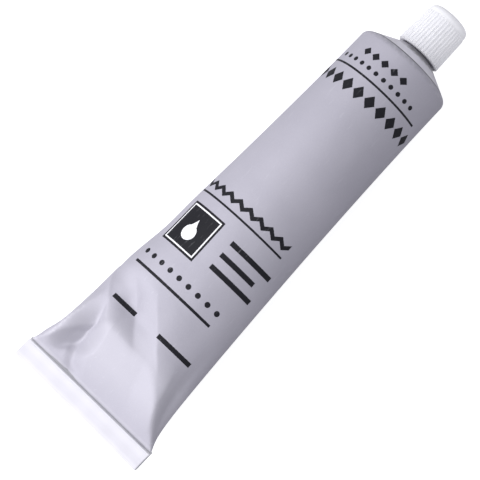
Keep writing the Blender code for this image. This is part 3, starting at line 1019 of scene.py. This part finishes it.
# %% [markdown]
# No real surface is one colour all over. Broad cloudiness, fine grain and thin scuffs are wanted on
# every piece here. They could be wired again in each finish, but they are built once, as a node group
# with its own sockets, and each finish asks for them at its own scale. Stretching the noise along one
# direction turns blots into scuffs.

# %% Uneven surface, as a group
SCUFF_STRETCH = (1.0, 1.0, 0.12)
SCUFF_TURN = (0.3, 0.5, 0.2)
SCUFF_RANGE = (0.66, 0.72)
SCUFFS_PER_MM = 2.2
uneven = bpy.data.node_groups.new("uneven surface", "ShaderNodeTree")
for name, kind in (("Place", "Vector"), ("Clouds per mm", "Float"), ("Grain per mm", "Float")):
    uneven.interface.new_socket(name=name, in_out="INPUT", socket_type="NodeSocket" + kind)
for name in ("Clouds", "Grain", "Scuffs"):
    uneven.interface.new_socket(name=name, in_out="OUTPUT", socket_type="NodeSocketFloat")
group = Wiring(uneven)
given = group.add("NodeGroupInput").outputs
wanted = group.add("NodeGroupOutput").inputs
group.feed(group.noise(given["Place"], given["Clouds per mm"], detail=4.0), wanted["Clouds"])
group.feed(group.noise(given["Place"], given["Grain per mm"], detail=2.0), wanted["Grain"])
stretched = group.add("ShaderNodeMapping")
stretched.inputs["Scale"].default_value = SCUFF_STRETCH
stretched.inputs["Rotation"].default_value = SCUFF_TURN
group.feed(given["Place"], stretched.inputs["Vector"])
streaks = group.noise(stretched.outputs["Vector"], SCUFFS_PER_MM, detail=2.0, roughness=0.6)
group.feed(group.spread(streaks, *SCUFF_RANGE), wanted["Scuffs"])
print("the group has", len(uneven.nodes), "nodes")

# %% [markdown]
# A finish is one material with its own wiring. What is the same all over a piece is set on the shader
# itself, and what changes over the surface is wired when the finish is put on. A material could be
# shared by several pieces, but here no two pieces look the same.

# %% A finish and its piece
SHADER_SOCKETS = {
    "colour": "Base Color",
    "roughness": "Roughness",
    "metallic": "Metallic",
    "normal": "Normal",
    "glow": "Emission Strength",
}


class Finish(Wiring):
    """One material, from its constants to the piece it is put on."""

    def __init__(self, name, **constants):
        self.material = bpy.data.materials.new(name)
        self.material.use_nodes = True
        super().__init__(self.material.node_tree)
        self.shader = self.tree.nodes["Principled BSDF"].inputs
        for constant, value in constants.items():
            self.shader[constant.replace("_", " ")].default_value = value

    def unevenness(self, place, clouds, grain):
        """The uneven surface, at so many clouds and grains per millimetre."""
        made = self.add("ShaderNodeGroup", node_tree=uneven)
        self.feed(place, made.inputs["Place"])
        made.inputs["Clouds per mm"].default_value = clouds
        made.inputs["Grain per mm"].default_value = grain
        return made.outputs

    def put_on(self, piece, **looks):
        for look, value in looks.items():
            self.feed(value, self.shader[SHADER_SOCKETS[look]])
        piece.data.materials.clear()
        piece.data.materials.append(self.material)
        print(self.material.name, "on", piece.name, "with", len(self.tree.nodes), "nodes")


print("a finish can change", ", ".join(SHADER_SOCKETS))

# %% [markdown]
# The print on the sleeve is only plain shapes: rules, dots, diamonds, a zigzag and a drop. A picture
# would blur close up. Each shape is a sum on the sheet's own millimetres instead, one inside it and
# zero outside, so it stays sharp and bends where the metal bends.

# %% Shapes to print
DROP_TIP = 1.9
DROP_CURVE = 1.25


def bar(nodes, across_mm, up_mm, middle, half):
    """A filled rectangle, from its middle and half its size."""
    near_across = nodes.below(nodes.size(nodes.minus(across_mm, middle[0])), half[0])
    near_up = nodes.below(nodes.size(nodes.minus(up_mm, middle[1])), half[1])
    return nodes.times(near_across, near_up)


def to_nearest(nodes, across_mm, middle, gap):
    """How far it is to the nearest of the evenly spaced places of a row."""
    return nodes.calc("PINGPONG", nodes.minus(across_mm, middle), gap / 2)


def dots(nodes, across_mm, up_mm, middle, half_run, gap, radius):
    off_up = nodes.minus(up_mm, middle[1])
    far = nodes.reach(to_nearest(nodes, across_mm, middle[0], gap), off_up)
    return nodes.times(nodes.below(far, radius), bar(nodes, across_mm, up_mm, middle, (half_run, gap)))


def diamonds(nodes, across_mm, up_mm, middle, half_run, gap, half):
    along = nodes.over(to_nearest(nodes, across_mm, middle[0], gap), half[0])
    off_up = nodes.over(nodes.size(nodes.minus(up_mm, middle[1])), half[1])
    inside = nodes.below(nodes.plus(along, off_up), 1.0)
    return nodes.times(inside, bar(nodes, across_mm, up_mm, middle, (half_run, gap)))


def zigzag(nodes, across_mm, up_mm, middle, half_run, gap, rise, half):
    along = nodes.minus(to_nearest(nodes, across_mm, middle[0], gap), gap / 4)
    line = nodes.times(along, 2 * rise / gap)
    off = nodes.size(nodes.minus(nodes.minus(up_mm, middle[1]), line))
    return nodes.times(nodes.below(off, half), bar(nodes, across_mm, up_mm, middle, (half_run, rise)))


def drop(nodes, across_mm, up_mm, middle, size):
    """Round below, and drawn to a point above."""
    side = nodes.minus(across_mm, middle[0])
    up = nodes.minus(up_mm, middle[1])
    thin = nodes.spread(up, 0.0, DROP_TIP * size, 1.0, 0.0)
    wide = nodes.times(nodes.calc("POWER", thin, DROP_CURVE), size)
    tip = nodes.times(nodes.below(nodes.size(side), wide), nodes.calc("GREATER_THAN", up, 0.0))
    return nodes.either(tip, nodes.below(nodes.reach(side, up), size))


def any_of(nodes, masks):
    total = masks[0]
    for mask in masks[1:]:
        total = nodes.either(total, mask)
    return total


print("shapes:", ", ".join(shape.__name__ for shape in (bar, dots, diamonds, zigzag, drop)))

# %% [markdown]
# The print is black, with a white frame and drop on one black square. It is listed from the shoulder
# down: one band below the shoulder, the rest from the middle down, and rules and dots on the back.
# Each shape could be wired by hand, but a list and a loop are easier to change. A little of the grain
# is added to every place, because ink on sprayed metal has slightly ragged edges.

# %% Print of the sleeve
SQUARE = (-6.5, 37.6)
DROP_PLACE = (-6.5, 36.6)
DROP_SIZE = 1.7
# Each shape with its middle (across, up) and its sizes, in millimetres
FRONT_PRINT = [
    (diamonds, (0.0, 87.0), 6.2, 2.5, (1.0, 0.95)),
    (dots, (0.0, 84.4), 11.0, 2.0, 0.5),
    (bar, (0.0, 82.5), (14.0, 0.22)),
    (diamonds, (0.0, 79.3), 16.5, 3.0, (1.3, 1.6)),
    (zigzag, (-1.0, 47.4), 12.6, 2.8, 1.1, 0.55),
    (bar, (-1.0, 45.2), (12.6, 0.22)),
    (bar, SQUARE, (5.0, 5.0)),
    (bar, (7.5, 40.6), (5.5, 0.55)),
    (bar, (6.5, 37.6), (4.5, 0.55)),
    (bar, (7.5, 34.6), (5.5, 0.55)),
    (dots, (-1.0, 28.6), 11.7, 2.6, 0.6),
    (bar, (-1.0, 25.8), (11.0, 0.3)),
    (bar, (8.0, 17.6), (4.4, 0.5)),
    (bar, (-7.0, 17.6), (3.4, 0.5)),
]
BACK_PRINT = [
    (bar, (0.0, 76.0), (8.0, 0.6)),
    (dots, (0.0, 72.5), 11.0, 2.0, 0.5),
    (bar, (0.0, 69.0), (11.0, 0.25)),
    (bar, (0.0, 66.5), (11.0, 0.25)),
    (bar, (0.0, 64.0), (11.0, 0.25)),
    (bar, (0.0, 30.0), (5.0, 0.6)),
]
FRAME_HALVES = (4.5, 4.2)
RAGGED_MM = 0.12
HALF_GIRTH_MM = 1000 * GIRTH / 2
enamel = Finish("lilac_enamel", Specular_IOR_Level=0.15)
place = enamel.upright()
marks = enamel.unevenness(place, clouds=0.06, grain=9.0)
sheet = enamel.split(enamel.add("ShaderNodeTexCoord").outputs["UV"])
ragged = enamel.times(enamel.minus(marks["Grain"], 0.5), RAGGED_MM)
across_mm = enamel.plus(enamel.times(enamel.minus(sheet["X"], 0.5), UV_MM), ragged)
up_mm = enamel.plus(enamel.times(sheet["Y"], UV_MM), ragged)
behind_mm = enamel.minus(enamel.size(across_mm), HALF_GIRTH_MM)
inked = [shape(enamel, across_mm, up_mm, *sizes) for shape, *sizes in FRONT_PRINT]
inked += [shape(enamel, behind_mm, up_mm, *sizes) for shape, *sizes in BACK_PRINT]
black = any_of(enamel, inked)
outer, inner = [bar(enamel, across_mm, up_mm, SQUARE, (half, half)) for half in FRAME_HALVES]
white = enamel.either(enamel.minus(outer, inner), drop(enamel, across_mm, up_mm, DROP_PLACE, DROP_SIZE))
print(len(inked), "black shapes, and a white frame and drop")

# %% [markdown]
# The sleeve is sprayed a silvery lilac with a soft gloss. A painted sheen lightens the panel above the
# fold, painted light lifts the shadow that the folded end casts on the sleeve's foot, and a thin line of
# painted shade lies right beside the fold's edge. The paint is rubbed thin where the metal bends sharply
# and at the shoulder's corner. A flat colour with one bump would do from far away, but the tube is seen
# close up. So each of these is a thin tint over the paint, and the ink isn't metallic as the lilac is.

# %% Lilac enamel
LILAC_DEEP = (0.370, 0.360, 0.420, 1)
LILAC_PALE = (0.410, 0.398, 0.460, 1)
SPARKLE = (0.7, 0.7, 0.76, 1)
LILAC_PAINTED_LIGHT = (0.56, 0.55, 0.61, 1)
INK = (0.010, 0.010, 0.014, 1)
WHITE_INK = (0.85, 0.85, 0.88, 1)
RUBBED = (0.66, 0.66, 0.70, 1)
SCUFFED = (0.75, 0.75, 0.8, 1)
FOLD_SHADE = (0.2, 0.2, 0.23, 1)
# Where each tint starts and where it is full, in millimetres up the tube
SHEEN_FROM = (2.0, 7.0)
SHEEN_TO = (16.0, 12.0)
CORNER_RUB = (1000 * SLEEVE_LENGTH - 0.9, 1000 * SLEEVE_LENGTH - 0.1)
FOLD_PAINTED_LIGHT = (0.9, 0.2)
FOLD_LINE = (0.14, 0.05)
# The same for the grain, for the bend in radians per millimetre, and for the patches that rub off
SPARKLE_RANGE = (0.45, 0.75)
BEND_RANGE = (0.45, 1.3)
PATCH_RANGE = (0.46, 0.62)
PATCHES_PER_MM = 1.4
CORNER_SHARE = 0.8
RIPPLES_PER_MM = 0.11
paint = enamel.blend(enamel.widened(marks["Clouds"]), LILAC_DEEP, LILAC_PALE)
paint = enamel.tint(paint, enamel.spread(marks["Grain"], *SPARKLE_RANGE), SPARKLE, strength=0.12)
# Painted sheen: a lighter band across the panel a few millimetres above the fold.
panel_sheen = enamel.times(enamel.spread(up_mm, *SHEEN_FROM), enamel.spread(up_mm, *SHEEN_TO))
paint = enamel.tint(paint, panel_sheen, LILAC_PAINTED_LIGHT, strength=0.25)
paint = enamel.blend(black, paint, INK)
paint = enamel.blend(white, paint, WHITE_INK)
bend = enamel.add("ShaderNodeAttribute", attribute_name="bend").outputs["Fac"]
patches = enamel.spread(enamel.noise(place, PATCHES_PER_MM, detail=5.0, roughness=0.65), *PATCH_RANGE)
corner = enamel.times(enamel.spread(up_mm, *CORNER_RUB), CORNER_SHARE)
worn = enamel.times(enamel.either(enamel.spread(bend, *BEND_RANGE), corner), patches)
paint = enamel.tint(paint, worn, RUBBED, strength=0.45)
paint = enamel.tint(paint, marks["Scuffs"], SCUFFED, strength=0.08)
# Painted light at the sleeve's foot, lifting the shadow that the folded end casts there.
paint = enamel.tint(paint, enamel.spread(up_mm, *FOLD_PAINTED_LIGHT), LILAC_PAINTED_LIGHT, strength=0.7)
# Painted shade: a thin dark line at the sleeve's foot, right beside the fold's edge.
paint = enamel.tint(paint, enamel.spread(up_mm, *FOLD_LINE), FOLD_SHADE, strength=0.5)
ripple = enamel.bump(enamel.noise(place, RIPPLES_PER_MM, detail=2.0), distance=0.0004, strength=0.5)
enamel.put_on(
    sleeve,
    colour=paint,
    roughness=enamel.widened(marks["Clouds"], 0.50, 0.58),
    metallic=enamel.times(enamel.minus(1.0, black), 0.2),
    normal=enamel.bump(marks["Grain"], distance=0.00001, strength=0.4, normal=ripple),
)

# %% [markdown]
# The folded end is white right round. Folding leaves faint lines along it, and the cut ends are bare.
# Its upper curve turns into shade, so painted light lifts it, and a thin line of painted shade stands
# for the dark gap where its upper edge meets the sleeve. Painting that shade is cheaper than modelling
# air between two sheets, and it can't close up when the light changes.

# %% White enamel of the fold
WHITE_DEEP = (0.600, 0.590, 0.654, 1)
WHITE_PALE = (0.630, 0.620, 0.684, 1)
LINE_SHADE = (0.6, 0.6, 0.66, 1)
FOLD_SCUFF = (0.6, 0.6, 0.64, 1)
CUT_METAL = (0.46, 0.46, 0.50, 1)
PAINTED_LIGHT_WHITE = (0.74, 0.73, 0.79, 1)
GAP_SHADE = (0.30, 0.30, 0.33, 1)
LINE_TURNS = 2.0
LINE_START = 2.1
LINE_WIDTH = 0.12
CUT_MM = 1000 * FLAT_HALF_WIDTH
CUT_SOFT_MM = 0.04
CREST_MM = 1000 * (FOLD_TOP + FOLD_STEP / 2 + PLY / 2)
GAP_HALF_MM = 0.03
PAINTED_LIGHT_MM = (-2.4, -0.5)
fold_paint = Finish("white_enamel")
place = fold_paint.upright()
marks = fold_paint.unevenness(place, clouds=0.12, grain=6.0)
x, _, z = fold_paint.split(place)
wander = fold_paint.plus(fold_paint.times(z, LINE_TURNS), fold_paint.plus(marks["Clouds"], LINE_START))
lines = fold_paint.size(fold_paint.calc("SINE", wander))
cut = fold_paint.spread(fold_paint.size(x), CUT_MM, CUT_MM + CUT_SOFT_MM)
paint = fold_paint.blend(fold_paint.widened(marks["Clouds"]), WHITE_DEEP, WHITE_PALE)
paint = fold_paint.tint(paint, fold_paint.spread(lines, LINE_WIDTH, 0.0), LINE_SHADE, strength=0.10)
paint = fold_paint.tint(paint, marks["Scuffs"], FOLD_SCUFF, strength=0.12)
paint = fold_paint.blend(cut, paint, CUT_METAL)
# Painted light: the fold's upper curve is lightened where it turns into shade.
paint = fold_paint.blend(fold_paint.spread(z, *PAINTED_LIGHT_MM), paint, PAINTED_LIGHT_WHITE)
# Painted shade: a thin dark line along the fold's crest, for the gap where it meets the sleeve.
gap = fold_paint.spread(z, CREST_MM - GAP_HALF_MM, CREST_MM + GAP_HALF_MM)
paint = fold_paint.tint(paint, gap, GAP_SHADE, strength=0.9)
fold_paint.put_on(
    fold,
    colour=paint,
    roughness=fold_paint.widened(marks["Grain"], 0.3, 0.42),
    normal=fold_paint.bump(lines, distance=0.00002, strength=0.3),
)

# %% [markdown]
# The shoulder is bare aluminium. Its tool left rings, so roughness and height wave with the distance
# from the axis. A thin line of painted shade lies next to the sleeve, in the gap by its rim, and dust
# and painted shade lie in a ragged ring under the cap, darkest on the side away from the lamp. An image
# of a real shoulder would show seams; distances from the axis have none.

# %% Bare metal of the shoulder
METAL_DEEP = (0.66, 0.645, 0.71, 1)
METAL_PALE = (0.76, 0.745, 0.81, 1)
METAL_SCUFF = (0.5, 0.5, 0.53, 1)
RIM_SHADE = (0.15, 0.15, 0.17, 1)
DUST_AND_SHADE = (0.13, 0.13, 0.14, 1)
RING_TURNS = 26.0
RING_WANDER = 3.0
EDGE_MM = 1000 * SHOULDER_EDGE
RIM_SHADE_MM = (EDGE_MM - 0.29, EDGE_MM - 0.19)
DUST_AND_SHADE_PER_MM = 1.1
# Where the dust and shade start and where they are full, in millimetres from the axis and across
DUST_AND_SHADE_RAGGED_MM = 2.4
DUST_AND_SHADE_OUTSIDE = (7.8, 6.8)
DUST_AND_SHADE_INSIDE = (3.6, 4.4)
DUST_AND_SHADE_SIDE = (4.0, 0.0)
metal = Finish("bare_aluminium")
place = metal.upright()
marks = metal.unevenness(place, clouds=0.25, grain=7.0)
x, y, _ = metal.split(place)
from_axis = metal.reach(x, y)
wander = metal.plus(metal.times(from_axis, RING_TURNS), metal.times(marks["Clouds"], RING_WANDER))
rings = metal.calc("SINE", wander)
# Dust and painted shade: a ragged dark ring under the cap, darkest on the side away from the lamp.
ragged = metal.times(metal.noise(place, DUST_AND_SHADE_PER_MM, detail=4.0, roughness=0.65), DUST_AND_SHADE_RAGGED_MM)
dust_and_shade = metal.spread(metal.plus(from_axis, ragged), *DUST_AND_SHADE_OUTSIDE)
dust_and_shade = metal.times(dust_and_shade, metal.spread(from_axis, *DUST_AND_SHADE_INSIDE))
dust_and_shade = metal.times(dust_and_shade, metal.spread(x, *DUST_AND_SHADE_SIDE))
bare = metal.blend(metal.widened(marks["Clouds"]), METAL_DEEP, METAL_PALE)
bare = metal.tint(bare, marks["Scuffs"], METAL_SCUFF, strength=0.2)
# Painted shade: a thin dark line in the gap by the sleeve's rim.
bare = metal.blend(metal.spread(from_axis, *RIM_SHADE_MM), bare, RIM_SHADE)
bare = metal.tint(bare, dust_and_shade, DUST_AND_SHADE, strength=0.8)
metal.put_on(
    shoulder,
    colour=bare,
    metallic=metal.times(metal.minus(1.0, dust_and_shade), 0.6),
    roughness=metal.spread(rings, -1.0, 1.0, 0.36, 0.48),
    normal=metal.bump(rings, distance=0.000012, strength=0.5),
)

# %% [markdown]
# Moulded plastic is never quite white or quite smooth: it has a faint cloudiness and a fine texture from
# the mould, and it is a little darker in the grooves between the ribs. Chalk looks much the same, so a
# little light is let in under the skin, as it goes into real plastic.

# %% Cap plastic
CAP_DEEP = (0.78, 0.78, 0.82, 1)
CAP_PALE = (0.82, 0.82, 0.86, 1)
GROOVE_DARKENING = (0.5, 0.5, 0.54, 1)
CAP_SCUFF = (0.6, 0.6, 0.62, 1)
GROOVE_MM = (1000 * ROOT_BASE + 0.03, 1000 * ROOT_TOP)
GROOVE_DARKENING_MM = (1000 * RIB_TOP + 0.1, 1000 * RIB_TOP - 0.7)
plastic = Finish(
    "white_cap_plastic",
    Subsurface_Weight=0.35,
    Subsurface_Radius=(1.0, 1.0, 1.0),
    Subsurface_Scale=0.0015,
)
place = plastic.upright()
marks = plastic.unevenness(place, clouds=0.2, grain=8.0)
x, y, z = plastic.split(place)
# Darker in the grooves between the ribs, below their tops.
in_groove = plastic.spread(plastic.reach(x, y), *GROOVE_MM)
groove_darkening = plastic.times(in_groove, plastic.spread(z, *GROOVE_DARKENING_MM))
skin = plastic.blend(plastic.widened(marks["Clouds"]), CAP_DEEP, CAP_PALE)
skin = plastic.tint(skin, groove_darkening, GROOVE_DARKENING, strength=0.10)
skin = plastic.tint(skin, marks["Scuffs"], CAP_SCUFF, strength=0.06)
plastic.put_on(
    cap,
    colour=skin,
    roughness=plastic.widened(marks["Grain"], 0.34, 0.46),
    normal=plastic.bump(marks["Grain"], distance=0.00001, strength=0.35),
)

# %% [markdown]
# The small pieces inside the cap show only when it is off: bright foil with rolling lines, and foam
# with open pores. Modelled pores would cost thousands of faces, so the grain makes them, in colour,
# roughness and height at once.

# %% Foil and foam
FOIL_COLOURS = ((0.78, 0.78, 0.80, 1), (0.88, 0.88, 0.90, 1))
FOAM_COLOURS = ((0.58, 0.56, 0.50, 1), (0.84, 0.83, 0.78, 1))
PORE_RANGE = (0.40, 0.56)
bright = Finish("seal_foil", Metallic=1.0)
marks = bright.unevenness(bright.upright(), clouds=0.6, grain=14.0)
bright.put_on(
    foil,
    colour=bright.blend(marks["Clouds"], *FOIL_COLOURS),
    roughness=bright.spread(marks["Scuffs"], 0.0, 1.0, 0.2, 0.4),
    normal=bright.bump(marks["Clouds"], distance=0.00005, strength=0.6),
)
foam = Finish("liner_foam")
marks = foam.unevenness(foam.upright(), clouds=0.8, grain=11.0)
pores = foam.spread(marks["Grain"], *PORE_RANGE)
foam.put_on(
    liner,
    colour=foam.blend(pores, *FOAM_COLOURS),
    roughness=foam.spread(pores, 0.0, 1.0, 0.9, 0.65),
    normal=foam.bump(pores, distance=0.00004, strength=0.7),
)

# %% [markdown]
# The glue and the bead are deep inside. They still get finishes, because a viewer may hide the sleeve
# to look in. Real glue is half clear, but a see-through filling would show nothing but the wall behind
# it. Both are soft and cloudy, so two colours and a changing gloss are enough.

# %% Glue and compound
GLUE_COLOURS = ((0.72, 0.72, 0.66, 1), (0.86, 0.86, 0.82, 1))
COMPOUND_COLOURS = ((0.60, 0.55, 0.40, 1), (0.74, 0.70, 0.54, 1))


def soft_filling(piece, finish, colours, clouds, grain, gloss):
    """Two colours in clouds, with a gloss that changes with the grain."""
    marks = finish.unevenness(finish.upright(), clouds, grain)
    colour = finish.blend(marks["Clouds"], *colours)
    finish.put_on(piece, colour=colour, roughness=finish.widened(marks["Grain"], *gloss))


clear_glue = Finish("clear_adhesive", Coat_Weight=0.3)
soft_filling(glue, clear_glue, GLUE_COLOURS, clouds=0.18, grain=0.9, gloss=(0.08, 0.2))
compound = Finish("sealing_compound")
soft_filling(bead, compound, COMPOUND_COLOURS, clouds=0.4, grain=5.0, gloss=(0.5, 0.7))

# %% [markdown]
# The picture is taken from above, a little towards the fold and a little to the tube's right, with a
# long lens. Placing the camera by eye would have to be done again after every change. It is set by
# those angles about the tube's own axis instead, and aims so that one place on the axis falls on one
# pixel of the picture.

# %% Camera
TILT = math.radians(4.39)
TURN = math.radians(17.34)
LEAN = math.radians(46.21)
DISTANCE = 0.44
PIXELS_PER_METRE = 4990.7
IMAGE_SIDE = 480
AIM_HEIGHT = 0.0475
AIM_PIXEL = (255.59, 223.24)
SENSOR_MM = 36
NEAREST_SEEN = 0.01
back_view = Vector((-math.cos(TILT) * math.sin(TURN), math.cos(TILT) * math.cos(TURN), -math.sin(TILT)))
seen_axis = (Vector((0, 0, 1)) - back_view * back_view.z).normalized()
seen_side = seen_axis.cross(back_view)
right = math.cos(LEAN) * seen_axis + math.sin(LEAN) * seen_side
down = -math.sin(LEAN) * seen_axis + math.cos(LEAN) * seen_side
off_right, off_down = [(pixel - IMAGE_SIDE / 2) / PIXELS_PER_METRE for pixel in AIM_PIXEL]
spot = Vector((0, 0, AIM_HEIGHT)) + back_view * DISTANCE - right * off_right - down * off_down
bpy.ops.object.camera_add()
camera = bpy.context.object
camera.matrix_world = tube_frame @ frame_from(right, -down, back_view, spot)
camera.data.sensor_width = SENSOR_MM
camera.data.lens = PIXELS_PER_METRE * DISTANCE / IMAGE_SIDE * SENSOR_MM
camera.data.clip_start = NEAREST_SEEN
bpy.context.scene.camera = camera
print("lens", round(camera.data.lens, 1), "mm, camera", round(camera.matrix_world.translation.z, 3), "m up")

# %% [markdown]
# The tube lies on a plain sheet of white paper. A sheet bright enough to look white would also throw
# white light up under the tube, so it glows only for the camera. What the tube sees of it is a quiet
# pale grey.

# %% Floor
FLOOR_SIDE = 3.0
PAPER_GLOW = 0.8
PAPER_FIBRES = 40.0
PAPER_COLOURS = ((0.55, 0.55, 0.57, 1), (0.58, 0.58, 0.59, 1))
clear_selection()
bpy.ops.mesh.primitive_plane_add(size=FLOOR_SIDE, location=(0, 0, 0))
floor = bpy.context.object
floor.name = "floor"
paper = Finish("white_paper", Roughness=0.9, Emission_Color=(1, 1, 1, 1))
fibres = paper.noise(paper.add("ShaderNodeTexCoord").outputs["Object"], PAPER_FIBRES)
by_camera = paper.add("ShaderNodeLightPath").outputs["Is Camera Ray"]
paper.put_on(floor, colour=paper.blend(fibres, *PAPER_COLOURS), glow=paper.times(by_camera, PAPER_GLOW))

# %% [markdown]
# One large soft lamp stands beyond the fold and to the tube's left, as a window would, which leaves
# the right flank in shade, and the white room fills the rest. A second lamp of that size would take
# the shade away. Photographers lift a shaded side with a white card, and here that is a weak lamp on
# the right, linked to the cap alone.

# %% Light
# Place, side and watts of each lamp
WINDOW = ((-0.25, 0.205, 0.28), 0.5, 2.45)
CARD = ((0.10, -0.16, 0.05), 0.12, 0.055)
LAMPS_FACE = Vector((0, 0, 0.01))
ROOM_COLOUR = (0.97, 0.97, 1.0, 1)
ROOM_STRENGTH = 0.66


def soft_lamp(name, place, side, power):
    """A square area lamp that faces the tube."""
    bpy.ops.object.light_add(type="AREA", location=place)
    lamp = bpy.context.object
    lamp.name = name
    lamp.data.shape = "SQUARE"
    lamp.data.size = side
    lamp.data.energy = power
    lamp.rotation_mode = "QUATERNION"
    lamp.rotation_quaternion = (LAMPS_FACE - Vector(place)).to_track_quat("-Z", "Y")
    return lamp


soft_lamp("window", *WINDOW)
card = soft_lamp("white card", *CARD)
card_lights = bpy.data.collections.new("lit by the card")
card_lights.objects.link(cap)
card.light_linking.receiver_collection = card_lights
world = bpy.context.scene.world or bpy.data.worlds.new("room")
bpy.context.scene.world = world
world.use_nodes = True
room = world.node_tree.nodes["Background"].inputs
room["Color"].default_value = ROOM_COLOUR
room["Strength"].default_value = ROOM_STRENGTH
bpy.context.scene.view_settings.view_transform = "Standard"
print(len(bpy.data.lights), "lamps and a room of strength", ROOM_STRENGTH)

# %% [markdown]
# A dressed piece must not outgrow its part.
